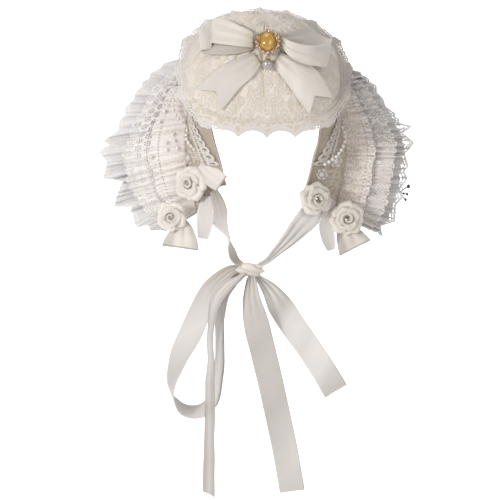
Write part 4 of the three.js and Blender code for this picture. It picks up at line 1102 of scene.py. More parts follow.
# One row for each point or notch of the back layer's edge: its place down the ruffle and its
# reach.
LEFT_POINTS = [(0, 0.90), (0.064, 1.037), (0.095, 0.955), (0.128, 1.0), (0.147, 0.95),
               (0.166, 1.01), (0.183, 0.96), (0.20, 1.005), (0.235, 0.955), (0.272, 1.013),
               (0.295, 0.94), (0.318, 0.99), (0.365, 0.93), (0.414, 1.07), (0.447, 0.95),
               (0.476, 1.05), (0.538, 0.937), (0.604, 1.013), (0.642, 0.80), (0.745, 1.06),
               (0.77, 0.86), (0.79, 0.96), (0.80, 0.94), (0.855, 1.11), (0.875, 0.95),
               (0.912, 1.05), (0.95, 0.97), (1.0, 0.98)]
RIGHT_POINTS = [(0, 0.86), (0.03, 0.88), (0.06, 0.84), (0.094, 0.963), (0.117, 0.90),
                (0.14, 0.95), (0.17, 0.90), (0.20, 0.96), (0.235, 0.87), (0.27, 0.90),
                (0.305, 0.86), (0.34, 0.953), (0.352, 0.91), (0.364, 0.953), (0.385, 0.93),
                (0.402, 1.10), (0.44, 0.90), (0.498, 1.017), (0.562, 0.883), (0.628, 0.977),
                (0.655, 0.92), (0.686, 0.987), (0.742, 0.90), (0.775, 0.97), (0.81, 0.90),
                (0.876, 0.977), (0.93, 0.83), (1.0, 1.02)]
# The folds of each layer on the left and on the right.
LAYER_FOLDS = {"front": (21, 25), "middle": (17, 22), "back": (17, 20)}

tulle = Finish("pale_tulle", Roughness=0.75, Sheen_Weight=0.3)
tulle_way = tulle.cloth()
mesh_holes = net_of(tulle, tulle_way, 45, 22)
tulle_cord = tulle.attribute("cord")
tulle_tone = tulle.blend(tulle.noise(tulle_way, 5.0), (0.78, 0.775, 0.785), (0.86, 0.855, 0.86))
# Painted shade from the ruffle's hollows, root and right side.
tulle_tone = tulle.blend(tulle.attribute("hollow") * 0.5, tulle_tone, (0.58, 0.54, 0.52))
tulle.feed("Base Color", tulle.blend(tulle_cord, tulle_tone, (0.92, 0.92, 0.925)))
tulle_cover = 0.74 + 0.3 * (1 - mesh_holes.ramp(0.25, 0.75)) + tulle_cord
tulle.feed("Alpha", tulle_cover.math("MINIMUM", 1.0))
tulle_relief = tulle.noise(tulle_way, 60.0) * 0.4 + tulle_cord * 1.0 + (1 - mesh_holes) * 0.3
tulle.bump(tulle_relief, 0.0004)

eyelet_cotton = Finish("eyelet_cotton", Roughness=0.85, Sheen_Weight=0.25)
cotton_way = eyelet_cotton.cloth()
cotton_weave = eyelet_cotton.waves(cotton_way, 55, "X") * eyelet_cotton.waves(cotton_way, 55, "Y")
stitch = eyelet_cotton.attribute("cord")
sprig_shape = cells(eyelet_cotton, cotton_way, 11.0, "F1")
embroidery = (sprig_shape * 22.0).math("SINE").ramp(0.0, 0.8) * sprig_shape.ramp(0.42, 0.2)
cotton_grain = eyelet_cotton.noise(cotton_way, 6.0)
cotton_tone = eyelet_cotton.blend(cotton_grain, (0.86, 0.825, 0.81), (0.92, 0.89, 0.88))
cotton_shade = eyelet_cotton.attribute("hollow") * 0.75
cotton_tone = eyelet_cotton.blend(cotton_shade, cotton_tone, (0.62, 0.56, 0.52))
cotton_white = stitch.math("MAXIMUM", embroidery * 0.7)
cotton_tone = eyelet_cotton.blend(cotton_white, cotton_tone, (0.95, 0.925, 0.915))
eyelet_cotton.feed("Base Color", cotton_tone)
eyelet_cotton.bump(cotton_weave * 0.1 + cotton_white * 0.9, 0.0005)

frill_lace = Finish("frill_lace", Roughness=0.8, Sheen_Weight=0.25)
frill_way = frill_lace.cloth()
frill_net = net_of(frill_lace, frill_way, 58, 17)
frill_cord = frill_lace.attribute("cord")
frill_sprays = cells(frill_lace, frill_way, 19.0)
frill_worked = (frill_sprays.ramp(0.16, 0.03) * 0.5).math("MAXIMUM", frill_cord)
frill_tone = frill_lace.blend(frill_net, (0.88, 0.845, 0.82), (0.91, 0.875, 0.855))
frill_shade = frill_lace.attribute("hollow") * 0.7
frill_tone = frill_lace.blend(frill_shade, frill_tone, (0.56, 0.49, 0.42))
frill_lace.feed("Base Color", frill_lace.blend(frill_worked, frill_tone, (0.95, 0.92, 0.905)))
frill_lace.bump(frill_net * 0.05 + frill_worked * 0.45, 0.0005)

for side, side_name, points, wide in ((LEFT, "left", LEFT_POINTS, 400),
                                      (RIGHT, "right", RIGHT_POINTS, 380)):
    middle_wide, front_wide = wide * 0.82, wide * 0.62
    # Each layer's grid, cut, finish, length along its gathers, flat size and area.
    layers = [
        ("back", BACK_LAYER, (380, 48, 0.62), PointedTulle(points, side == RIGHT), tulle, wide,
         (0.33, 0.10), 0.0275),
        ("middle", MIDDLE_LAYER, (330, 50, 0.75), EyeletCotton(middle_wide), eyelet_cotton,
         middle_wide, (0.33, 0.075), 0.0165),
        ("front", FRONT_LAYER, (320, 32, 0.75), FrillLace(front_wide), frill_lace, front_wide,
         (0.30, 0.045), 0.0098),
    ]
    for layer_name, layer, size, cut, finish, layer_wide, flat, area in layers:
        folds = LAYER_FOLDS[layer_name][side == RIGHT]
        ruffle = laced_ruffle(f"ruffle_{layer_name}_{side_name}_cloth", side, layer, folds,
                              1.0 + side + layer[0], size, cut, finish, layer_wide)
        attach(ruffle, "root")
        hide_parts(f"ruffle_{layer_name}_{side_name}")
        flat[0] * wide / 400


# Lace bands on the panels: a narrow white lace with a scalloped front edge, sewn flat down the
# front of each panel, with a row of holes between two cords.

PANEL_LACE_WIDTH = 15.0
PANEL_LACE_LENGTH = 80.0
# One row for each station down the lace band: its height and its middle line.
PANEL_LACE_LINE = np.array([(-26, -30), (-50, -38), (-75, -44), (-102, -46)], float)


def raised_on_panel(side, y, z, lift):
    def surface(a, b):
        return np.stack([panel_side(side, y + a, z + b), y + a, z + b], axis=-1)
    along_y = surface(0.5, 0) - surface(-0.5, 0)
    along_z = surface(0, 0.5) - surface(0, -0.5)
    normal = unit(np.cross(along_y, along_z)) * side
    return surface(0, 0) + normal * np.asarray(lift)[..., None]


def panel_lace(side, name):
    along, across = np.meshgrid(np.linspace(0, 1, 130), np.linspace(-1.15, 1, 28))
    length = PANEL_LACE_LENGTH
    d = across * PANEL_LACE_WIDTH / 2
    scallop = 2.4 * np.abs(np.sin(np.pi * along * length / 8.0)) ** 0.6
    front_edge = d + PANEL_LACE_WIDTH / 2 - 2.4 + scallop
    offset = (along * length) % 8.0 - 4.0
    from_fan = np.hypot(offset, d + 3.6)
    small_hole = np.hypot((along * length) % 4.0 - 2.0, d - 2.0) - 0.8
    eyelet = np.minimum(np.hypot(offset, d + 4.0) - 0.95, small_hole)
    net = net_threads(along * length, d, 2.7, 0.95)
    solid = np.maximum.reduce([cord_line(from_fan - 3.0, 1.2), 1.6 - np.abs(front_edge - 1.0),
                               1.3 - np.abs(d - 4.6), 1.2 - np.abs(d), net])
    kept = np.minimum(np.minimum(solid, front_edge), eyelet)
    u, v, faces = cut_lace(along, across, kept)
    line = smooth_rows(PANEL_LACE_LINE, u * 3)
    from_fan = np.hypot((u * length) % 8 - 4, v * 7.5 + 3.6)
    cords = np.clip(1.4 - np.abs(from_fan - 3.0) / 0.8, 0, 1)
    points = raised_on_panel(side, line[..., 1] + v * PANEL_LACE_WIDTH / 2, line[..., 0],
                             0.9 + 0.35 * cords)
    cloth = np.stack([u * length / 100, v * 0.075], axis=-1)
    if side == RIGHT:
        faces = faces[:, ::-1]
    values = {"cord": cords * 0.6, "cream": np.full_like(u, 0.9),
              "shade": np.full_like(u, 0.35 if side == LEFT else 0.65)}
    piece = make_piece(name, points, faces, white_lace, cloth, values)
    thicken(piece, 0.7, 0)
    return piece


for side, side_name in ((LEFT, "left"), (RIGHT, "right")):
    band = panel_lace(side, f"panel_{side_name}_lace")
    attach(band, "root")
    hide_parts(f"panel_lace_{side_name}")


# Pearls: strings of small pearl beads caught down over the panels, and single pearls sewn to
# the left frill between them.

rng = np.random.default_rng(7)
BEAD_RADIUS = 2.3
BEAD_PITCH = 6.2
# One row for each bend of a pearl string, seen from the front.
LEFT_STRING = [(115, -20), (116, -32), (110, -45), (99, -57), (94, -70), (83, -85)]
RIGHT_STRING = [(94, -54), (95, -68), (92, -80), (84, -90), (74, -97), (64, -103)]

pearl_skin = Finish("pearl_skin", Roughness=0.22, Coat_Weight=0.6, Coat_Roughness=0.1,
                    Sheen_Weight=0.2)
pearl_places = pearl_skin.places()
bloom = pearl_skin.noise(pearl_places, 160.0, 2.0)
bloom_shift = pearl_skin.noise(pearl_places, 55.0, 1.0)
pearl_tone = pearl_skin.blend(bloom.ramp(0.35, 0.65), (0.80, 0.77, 0.72), (0.86, 0.845, 0.83))
pearl_blush = bloom_shift.ramp(0.5, 0.7) * 0.35
pearl_skin.feed("Base Color", pearl_skin.blend(pearl_blush, pearl_tone, (0.80, 0.80, 0.83)))
pearl_skin.feed("Roughness", 0.16 + 0.12 * bloom)
pearl_skin.bump(bloom, 0.00008)


def bead_ball(radius, rings=7, sides=12):
    """The places and faces of a small ball."""
    bpy.ops.mesh.primitive_uv_sphere_add(segments=sides, ring_count=rings, radius=radius)
    ball = bpy.context.active_object
    points = np.array([corner.co[:] for corner in ball.data.vertices])
    faces = [list(face.vertices) for face in ball.data.polygons]
    bpy.data.objects.remove(ball)
    return points, faces


def string_place(side, x, z):
    """A place seen from the front, on the frill where it hides the panel, or else on the panel."""
    section = panel_section(z)
    ruffle_y = RUFFLE_Y - 7.5 - TIP_FOLD / 2 - 2.6 - BEAD_RADIUS - 1
    if x > section[1] - TIP_FOLD:
        return np.array([side * x, ruffle_y, z])
    y = section[3] - section[2] * np.sqrt(1 - (x / section[1]) ** 2)
    return raised_on_panel(side, y, np.float64(z), BEAD_RADIUS + 2.2)


def smooth_path(points, count):
    """Evenly spaced places on a smooth line through some places."""
    fine = smooth_rows(np.array(points), np.linspace(0, len(points) - 1, 60 * len(points)))
    run = np.linalg.norm(np.diff(fine, axis=0, prepend=fine[:1]), axis=1).cumsum()
    at = np.linspace(0, run[-1], count)
    return np.stack([np.interp(at, run, fine[:, k]) for k in range(3)], axis=1), run[-1]


def pearl_string(side, bends, name):
    points = [string_place(side, x, z) for x, z in bends]
    _, length = smooth_path(points, 10)
    count = int((length - 2 * BEAD_RADIUS) / BEAD_PITCH) + 1
    path, _ = smooth_path(points, 120)
    seats = np.interp(BEAD_RADIUS + np.arange(count) * BEAD_PITCH, np.linspace(0, length, 120),
                      np.arange(120))
    ball, faces = bead_ball(1.0)
    parts = [(ball * BEAD_RADIUS * (0.94 + 0.08 * rng.random()) + middle, faces)
             for middle in smooth_rows(path, seats)]
    span = path[int(seats[0]):int(seats[-1]) + 1]
    parts.append(tube(span, 0.45, 6, closed=False))
    return closed_piece(name, parts, pearl_skin)


for side, side_name, bends in ((LEFT, "left", LEFT_STRING), (RIGHT, "right", RIGHT_STRING)):
    string = pearl_string(side, bends, f"pearl_string_{side_name}_beads")
    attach(string, "root")
    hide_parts(f"pearl_string_{side_name}")


# One row for each single pearl: its place down the left frill and its reach.
FRILL_PEARLS = [(0.294, 0.845), (0.354, 0.89), (0.444, 0.37), (0.486, 0.545), (0.482, 0.32),
                (0.528, 0.525), (0.53, 0.235), (0.552, 0.965)]


def frill_pearls():
    ball, faces = bead_ball(BEAD_RADIUS)
    parts = []
    for place, r in FRILL_PEARLS:
        seat = ruffle_surface(LEFT, FRONT_LAYER, np.array([place]), np.array([r]),
                              LAYER_FOLDS["front"][0], 0.42)[0]
        parts.append((ball * (0.9 + 0.2 * rng.random()) + seat - (0, BEAD_RADIUS + 0.5, 0), faces))
    return closed_piece("frill_left_pearls", parts, pearl_skin)


frill_left_pearls = frill_pearls()
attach(frill_left_pearls, "root")


# Guipure flowers: small six-petalled flowers of heavy white lace cord, dished and sewn by their
# middles over the foot of each pearl string.

# Each side's flowers: the place of the middle, seen from the front, and the radius.
FLOWERS = {"left": (LEFT, [(97, -94, 8.5)]), "right": (RIGHT, [(83, -96, 8.0), (66, -112, 7.0)])}


def guipure_flower(side, x, z, radius):
    angle, r = np.meshgrid(np.linspace(0, 2 * np.pi, 73), np.linspace(0.02, 1, 13))
    petal_edge = 0.62 + 0.38 * np.abs(np.cos(3 * angle)) ** 0.6
    rim = cord_line(r - petal_edge + 0.12, 0.2)
    rib = np.minimum(cord_line(np.sin(6 * angle) * r / 6, 0.07), petal_edge - r)
    kept = np.minimum(np.maximum.reduce([rim, rib, 0.3 - r]), petal_edge - r)
    u, v, faces = cut_lace(angle, r, kept * radius)
    middle = string_place(side, x, z) - (0, 1.5, 0)
    dish = 1.3 * np.cos(6 * u) * v + 2.0 * (1 - v) ** 2
    across, up = v * radius * np.cos(u), v * radius * np.sin(u)
    points = middle + np.stack([across, 0.35 * across - dish, up], axis=-1)
    values = {"cord": np.clip(1.3 - np.abs(v - 0.3) * 2, 0, 1), "cream": np.full_like(v, 0.4),
              "shade": np.full_like(v, 0.1 if side == LEFT else 0.4)}
    cloth = np.stack([across, up], axis=-1) / 100
    return make_piece("guipure_flower", points, faces[:, ::-1], white_lace, cloth, values)


def joined(name, parts):
    select_only(*parts)
    bpy.ops.object.join()
    piece = bpy.context.active_object
    piece.name = name
    return piece


for side_name, (side, places) in FLOWERS.items():
    flowers = [guipure_flower(side, *place) for place in places]
    flower = joined(f"guipure_flowers_{side_name}", flowers)
    thicken(flower, 1.0, 0)
    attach(flower, "root")


# Bow: one wide satin ribbon folded to a loop on each side, with two swallow-tailed ends, gathered
# in the middle under a short knot. It is stitched to the puff.

PLEAT_ALLOWANCE = 1.5
BOW_WALL = 1.0
BOW_NOTCH = 15.0
# One row for each station along the ribbon, seen from the front: the places of its two edges
# and its height above the puff.
BOW_LOOP_LEFT = [(-15, 50, -15, 38, 2.5), (-33, 56, -32, 33, 2.5), (-50, 59, -48, 31, 2.5),
                 (-65, 58, -61, 31, 3.2), (-73, 58, -68, 31, 4.6), (-77, 57, -72, 33, 7.5),
                 (-75, 57.5, -70, 34, 9.5), (-70, 58, -66, 35.5, 6.6), (-64, 60, -62, 37.5, 5.6),
                 (-60, 63, -60, 40, 8.5), (-57, 66, -57.5, 41, 12), (-48, 66, -47, 39, 13),
                 (-34, 61, -31, 38, 12.5), (-15, 53, -16, 38, 9)]
BOW_LOOP_RIGHT = [(15, 53, 15, 40, 3.2), (30, 58, 29, 37, 3.2), (46, 60, 44, 33, 3.4),
                  (58, 54, 54, 26, 4.2), (66, 49, 60, 19, 6), (69, 45, 63, 14, 9),
                  (66, 46, 62, 14, 11.5), (59, 39, 56, 15, 12.5), (44, 36, 38, 20, 12.5),
                  (26, 41, 24, 28, 11), (15, 49, 16, 38, 8)]
BOW_TAIL_LEFT = [(-16, 34, -7.5, 21, 1.8), (-33, 27.5, -15.5, 8.5, 1.7), (-50, 20, -30, -5, 1.7),
                 (-68, 6, -42, -19, 1.7), (-86, -9, -53, -33, 1.7)]
BOW_TAIL_RIGHT = [(16, 34, 7.5, 21, 1.8), (33, 26.5, 16.5, 7.5, 1.7), (51, 19, 28, -8, 1.7),
                  (65, 4, 38, -22, 1.7), (78, -19, 50, -37, 1.7)]


def on_puff(x, z, lift):
    """The front of the puff at a place seen from the front, raised along its normal."""
    low, high = np.full_like(x, -180.0), np.full_like(x, CROWN_CENTRE[1])
    for _ in range(28):
        y = (low + high) / 2
        offset = np.stack([0 * y, y, z], axis=-1) - CROWN_CENTRE * (0, 1, 1)
        centre = crown_lean(offset @ CROWN_BROW)
        edge = np.where(x < centre, centre - crown_side(LEFT, y, z),
                        crown_side(RIGHT, y, z) - centre)
        outside = np.abs(x - centre) > edge
        low, high = np.where(outside, y, low), np.where(outside, high, y)
    point = np.stack([x, low, z], axis=-1)
    offset = point - CROWN_CENTRE
    along = offset @ CROWN_BROW
    share = np.clip(offset @ CROWN_AXIS / CROWN_RISE, 0, 1)
    theta = np.arctan2(along, offset[..., 0] - crown_lean(along))
    normal = crown_normal(np.arccos(share ** (1 / CROWN_PUFF)), theta)
    return point + normal * np.asarray(lift)[..., None], normal


def ribbon_on_puff(rows, steps, across, notch=0.0):
    t, s = np.meshgrid(np.linspace(0, 1, across), np.linspace(0, len(rows) - 1, steps))
    row = smooth_rows(rows, s)
    x = row[..., 0] * (1 - t) + row[..., 2] * t
    z = row[..., 1] * (1 - t) + row[..., 3] * t
    if notch:
        step = np.array(rows[-1]) - np.array(rows[-2])
        run = unit(np.array([step[0] + step[2], step[1] + step[3]]))
        back = notch * (1 - np.abs(2 * t - 1)) * soft_step(len(rows) - 2, len(rows) - 1, s)
        x, z = x - run[0] * back, z - run[1] * back
    point, normal = on_puff(x, z, PLEAT_ALLOWANCE + row[..., 4])
    return point, normal, s / (len(rows) - 1), t


def bow_piece(name, rows, steps, across, notch, folds, turned=False, lip=None, shade=0.0):
    """A loop, which turned says, or a tail of the bow. Each fold is a place across the ribbon, a
    width, a depth and how far it runs from the knot; a lip is a raised stretch of one edge."""
    point, normal, s, t = ribbon_on_puff(rows, steps, across, notch)
    if turned:
        ahead = np.gradient(point, axis=0)
        normal = unit(np.cross(ahead, np.gradient(point, axis=1)))
        near_knot = np.where(rows[0][4] > 5, s, np.minimum(s, 1 - s)) * 2
    else:
        near_knot = s
    height = smooth_rows(rows, s * (len(rows) - 1))[..., 4]
    gather = np.zeros_like(s)
    for middle, width, depth, reach in folds:
        line = np.exp(-((t - middle) / (width * (0.35 + near_knot))) ** 2)
        gather = gather + depth * line * soft_step(reach, 0, near_knot)
    bow_out = 1.2 * np.sin(np.pi * t) * np.sin(np.pi * np.clip(near_knot, 0, 1))
    bow_out = bow_out + 0.5 * soft_noise(s * 60, t * 30, 13, 24)
    if lip:
        edge, start, end = lip
        raised_edge = 3.2 * np.exp(-((t - edge) / 0.1) ** 2) * soft_step(start, start + 0.12, s)
        bow_out = bow_out + raised_edge * soft_step(end, end - 0.1, s)
    sewn = soft_step(0, 0.04, s) if turned else 1
    out = point + normal * ((gather + bow_out) * sewn)[..., None]
    width = np.linalg.norm(point[:, -1] - point[:, 0], axis=-1).max()
    run = np.linalg.norm(np.diff(point, axis=0, prepend=point[:1]), axis=-1).cumsum(axis=0)
    cloth = np.stack([t * width / 100, run.mean(axis=1)[:, None] / 100 + 0 * t], axis=-1)
    # Painted shade: darker in the folds' valleys, near the knot and along the ribbon's far edge,
    # and over the loops where they lie low.
    crease = np.clip(-gather / 1.5, 0, 1) * 0.6 + 0.6 * soft_step(0.12, 0.0, near_knot)
    crease = crease + 0.35 * soft_step(0.95, 1.0, t)
    shade = shade + soft_step(9, 4, height) * (0.5 if turned else 0)
    values = {"crease": np.clip(crease, 0, 1), "shade": shade, "warm": np.ones_like(t)}
    piece = make_piece(name, out, grid_faces(steps, across), satin, cloth, values)
    apply_modifier(piece, "SUBSURF", levels=1, render_levels=1)
    thicken(piece, BOW_WALL, 0)
    return piece


LOOP_FOLDS = [(0.24, 0.13, 1.9, 0.75), (0.46, 0.07, -1.5, 0.5), (0.66, 0.12, 1.7, 0.95),
              (0.86, 0.06, -1.4, 0.55)]
TAIL_FOLDS = [(0.2, 0.12, 1.5, 0.7), (0.42, 0.07, -1.2, 0.4), (0.62, 0.12, 1.3, 0.6),
              (0.84, 0.07, -0.9, 0.35)]
RIGHT_LIP = (0.06, 0.5, 0.98)

bow_pieces = {
    "bow_loop_left": bow_piece("bow_loop_left_satin", BOW_LOOP_LEFT, 64, 19, 0, LOOP_FOLDS,
                               turned=True, shade=0.2),
    "bow_loop_right": bow_piece("bow_loop_right_satin", BOW_LOOP_RIGHT, 52, 19, 0, LOOP_FOLDS,
                                turned=True, lip=RIGHT_LIP),
    "bow_tail_left": bow_piece("bow_tail_left_satin", BOW_TAIL_LEFT, 40, 19, BOW_NOTCH,
                               TAIL_FOLDS, shade=0.45),
    "bow_tail_right": bow_piece("bow_tail_right_satin", BOW_TAIL_RIGHT, 40, 19, BOW_NOTCH,
                                TAIL_FOLDS),
}
for node, ribbon_piece in bow_pieces.items():
    long_side = 0.15 if "loop" in node else 0.095
    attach(ribbon_piece, "root")
    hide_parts(node)


def knot_folds(name, half, bands, tilt, turn, place, depth):
    """A pulled knot: satin wrapped round in bands that narrow at both ends, turned about X."""
    rows, columns = 40, 72
    u, v = np.meshgrid(np.linspace(0, 2 * np.pi, columns, endpoint=False),
                       np.linspace(0.04, np.pi - 0.04, rows))
    ball = np.stack([np.sin(v) * np.sin(u), -np.sin(v) * np.cos(u), np.cos(v)], axis=-1)
    slant = ball[..., 0] * np.cos(tilt) + ball[..., 2] * np.sin(tilt)
    slant = slant + 0.22 * np.sin(2.2 * ball[..., 2] + 1)
    ridge = np.abs(np.sin(slant * bands)) ** 0.6
    swell = 1 + depth * (ridge - 0.55)
    out = ball * swell[..., None] * np.array(half)
    points = np.vstack([out.reshape(-1, 3), out[0].mean(axis=0), out[-1].mean(axis=0)])
    faces = grid_faces(rows, columns, ring=True)[:, ::-1].tolist()
    top, low = rows * columns, rows * columns + 1
    faces += [[top, k, (k + 1) % columns] for k in range(columns)]
    start = (rows - 1) * columns
    faces += [[low, start + (k + 1) % columns, start + k] for k in range(columns)]
    # Painted shade in the valleys between the bands.
    crease = np.append(soft_step(0.45, 0.05, ridge), (0, 0))
    flat = np.stack([slant * half[0], ball[..., 2] * half[2]], axis=-1).reshape(-1, 2)
    cloth = np.vstack([flat, (0, 0), (0, 0)]) / 100
    values = {"crease": crease * 0.8, "warm": np.ones_like(crease)}
    piece = outward(make_piece(name, points, faces, satin, cloth, values))
    corners = np.array([corner.co[:] for corner in piece.data.vertices])
    x, y, z = corners.T
    spun = np.stack([x, y * np.cos(turn) - z * np.sin(turn), y * np.sin(turn) + z * np.cos(turn)],
                    axis=1)
    piece.data.vertices.foreach_set("co", (spun + np.array(place) * MM).ravel())
    piece.data.update()
    return piece


BROOCH_X, BROOCH_Z = np.array(0.5), np.array(43.5)
KNOT_LIFT = PLEAT_ALLOWANCE + 0.4 + 5 - 1.7
_, face_normal = on_puff(BROOCH_X, BROOCH_Z, 0.0)
FACE_TILT = -np.arctan2(face_normal[2], -face_normal[1])
knot_seat, _ = on_puff(BROOCH_X, BROOCH_Z, KNOT_LIFT)
bow_knot_satin = knot_folds("bow_knot_satin", (12.4, 5.2, 12.2), 4.2, 0.15, FACE_TILT, knot_seat,
                            0.16)
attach(bow_knot_satin, "root")
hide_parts("bow_knot")


# Brooch: a gilt plate ringed with small cut champagne stones in claws round a domed amber stone.
# A pearl hangs from its lower eye on a small link and lies on the puff.

BROOCH_LIFT = 12.0
PLATE_RADIUS = 13.0
STONE_COUNT = 16
STONE_RING = 13.3
DROP_RADIUS = 6.6
EYE_RADIUS = 1.5
EYE_GAP = 1.9
LINK_LENGTH = 4.9
ACROSS = (0, np.pi / 2, 0)
FACING = (np.pi / 2, 0, 0)
# The rings of wire round the stone: radius, thickness, place in front of the plate and stretch.
WIRE_RINGS = [(9.9, 0.55, -1.5, (0.93, 1.1, 1)), (11.5, 0.35, -1.3, (1, 1, 1))]
# The rings of claws: a claw's radius, its place in front of the plate and the ring's radius.
CLAW_RINGS = [(0.55, -2.6, 11.4), (0.6, -2.2, 15.0)]

gilt = Finish("gilt_metal", Metallic=1.0, Roughness=0.28)
gilt_places = gilt.places()
rubbed = gilt.noise(gilt_places, 260.0)
gilt.feed("Base Color", gilt.blend(rubbed, (0.38, 0.22, 0.10), (0.68, 0.49, 0.27)))
gilt.feed("Roughness", 0.2 + 0.22 * rubbed)
gilt.bump(gilt.noise(gilt_places, 900.0), 0.00006)

champagne_stone = Finish("champagne_stone", Roughness=0.06, Coat_Weight=1.0,
                         Coat_Roughness=0.03, Metallic=0.45)
glint = champagne_stone.noise(champagne_stone.places(), 420.0, 1.0)
stone_tone = champagne_stone.blend(glint.ramp(0.35, 0.6), (0.36, 0.20, 0.09), (0.90, 0.80, 0.64))
champagne_stone.feed("Base Color", stone_tone)
champagne_stone.feed("Roughness", 0.04 + 0.12 * glint)
champagne_stone.bump(glint, 0.0001)

amber = Finish("amber_stone", Roughness=0.12, Coat_Weight=1.0, Coat_Roughness=0.04,
               Subsurface_Weight=0.25, Subsurface_Scale=0.004)
amber_places = amber.places()
cloud = amber.noise(amber_places, 130.0, 4.0)
vein = amber.noise(amber.turned(amber_places, 30, (60, 60, 190)), 1.0, 2.0)
amber_tone = amber.blend(cloud.ramp(0.35, 0.7), (0.46, 0.26, 0.035), (0.62, 0.38, 0.075))
amber.feed("Base Color", amber.blend(vein.ramp(0.52, 0.7) * 0.6, amber_tone, (0.68, 0.46, 0.13)))
amber.bump(cloud, 0.00008)


def added(shade_smooth=False):
    """The part that was added last."""
    if shade_smooth:
        bpy.ops.object.shade_smooth()
    return bpy.context.active_object


def fix_place(piece, location=True):
    select_only(piece)
    bpy.ops.object.transform_apply(location=location, rotation=True, scale=True)
    return piece


def metal_or_stone(name, parts, finish):
    """One piece in one finish from several parts."""
    piece = joined(name, parts)
    piece.data.name = name
    piece.data.materials.clear()
    piece.data.materials.append(finish.material)
    return piece


def settle(piece, turn, place):
    """Turns a finished piece about X, moves it to a place in millimetres and fixes it there."""
    fix_place(piece)
    piece.rotation_euler = (turn, 0, 0)
    piece.location = Vector(place) * MM
    return fix_place(piece)


def select_faces(piece, wanted):
    """Enters edit mode with only the wanted faces selected."""
    bpy.ops.object.mode_set(mode="EDIT")
    bpy.ops.mesh.select_mode(type="FACE")
    bpy.ops.mesh.select_all(action="DESELECT")
    bpy.ops.object.mode_set(mode="OBJECT")
    for face in piece.data.polygons:
        face.select = wanted(face)
    bpy.ops.object.mode_set(mode="EDIT")


def copies_round(piece, count, radius, start=0.0):
    """Copies of a piece round the brooch's rim, each turned to its place."""
    made = []
    for i in range(count):
        angle = start + i / count * 2 * np.pi
        copy = piece.copy()
        copy.data = piece.data.copy()
        bpy.context.collection.objects.link(copy)
        place = (radius * np.cos(angle), piece.location[1] / MM, radius * np.sin(angle))
        copy.location = Vector(place) * MM
        copy.rotation_euler = (0, -angle, 0)
        made.append(copy)
    bpy.data.objects.remove(piece)
    return [fix_place(copy) for copy in made]


brooch_seat, _ = on_puff(BROOCH_X, BROOCH_Z, BROOCH_LIFT)


def gilt_setting():
    bpy.ops.mesh.primitive_cylinder_add(vertices=48, radius=PLATE_RADIUS * MM, depth=2.4 * MM,
                                        rotation=FACING)
    plate = added()
    select_faces(plate, lambda face: len(face.vertices) > 8)
    bpy.ops.mesh.inset(thickness=1.6 * MM, depth=0.5 * MM)
    bpy.ops.mesh.inset(thickness=1.2 * MM, depth=-0.6 * MM)
    bpy.ops.object.mode_set(mode="OBJECT")
    apply_modifier(plate, "BEVEL", width=0.3 * MM, segments=2)
    parts = [plate]
    for radius, wire, at, stretch in WIRE_RINGS:
        bpy.ops.mesh.primitive_torus_add(major_radius=radius * MM, minor_radius=wire * MM,
                                         major_segments=56, minor_segments=8,
                                         location=(0, at * MM, 0), rotation=FACING)
        ring = added(True)
        ring.scale = stretch
        parts.append(ring)
    for radius, at, reach in CLAW_RINGS:
        bpy.ops.mesh.primitive_uv_sphere_add(segments=8, ring_count=6, radius=radius * MM,
                                             location=(0, at * MM, 0))
        parts += copies_round(added(True), STONE_COUNT, reach, np.pi / STONE_COUNT)
    bpy.ops.mesh.primitive_cylinder_add(vertices=12, radius=2.05 * MM, depth=1.9 * MM,
                                        location=(0, -0.9 * MM, 0), rotation=FACING)
    cup = fix_place(added(True), location=False)
    parts += copies_round(cup, STONE_COUNT, STONE_RING)
    drop = STONE_RING + EYE_GAP + EYE_RADIUS
    bpy.ops.mesh.primitive_torus_add(major_radius=EYE_RADIUS * MM, minor_radius=0.5 * MM,
                                     major_segments=24, minor_segments=8,
                                     location=(0, 0, -drop * MM), rotation=ACROSS)
    parts.append(added(True))
    parts = [fix_place(part) for part in parts]
    return settle(metal_or_stone("brooch_gilt_setting", parts, gilt), FACE_TILT, brooch_seat)


brooch_gilt_setting = gilt_setting()
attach(brooch_gilt_setting, "root")
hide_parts("brooch_setting")


def cut_stones():
    bpy.ops.mesh.primitive_cone_add(vertices=8, radius1=1.85 * MM, radius2=1.0 * MM,
                                    depth=1.3 * MM, location=(0, -2.5 * MM, 0), rotation=FACING)
    stone = fix_place(added(), location=False)
    select_faces(stone, lambda face: face.normal.y < -0.9)
    bpy.ops.mesh.inset(thickness=0.25 * MM, depth=0.18 * MM)
    bpy.ops.object.mode_set(mode="OBJECT")
    stones = copies_round(stone, STONE_COUNT, STONE_RING)
    return settle(metal_or_stone("brooch_cut_stones", stones, champagne_stone), FACE_TILT,
                  brooch_seat)


brooch_cut_stones = cut_stones()
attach(brooch_cut_stones, "root")


def domed_stone():
    """A ball's front half, stretched to an oval dome."""
    bpy.ops.mesh.primitive_uv_sphere_add(segments=40, ring_count=24, radius=MM)
    stone = added(True)
    bpy.ops.object.mode_set(mode="EDIT")
    bpy.ops.mesh.select_all(action="SELECT")
    bpy.ops.mesh.bisect(plane_co=(0, 0, 0), plane_no=(0, 1, 0), clear_outer=True, use_fill=True)
    bpy.ops.object.mode_set(mode="OBJECT")
    stone.scale = (8.7, 6.3, 10.8)
    stone.location = (0, -1.6 * MM, 0)
    stone.data.materials.append(amber.material)
    stone.name = "brooch_amber_dome"
    return settle(stone, FACE_TILT, brooch_seat)


brooch_amber_dome = domed_stone()
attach(brooch_amber_dome, "root")
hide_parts("brooch_stone")

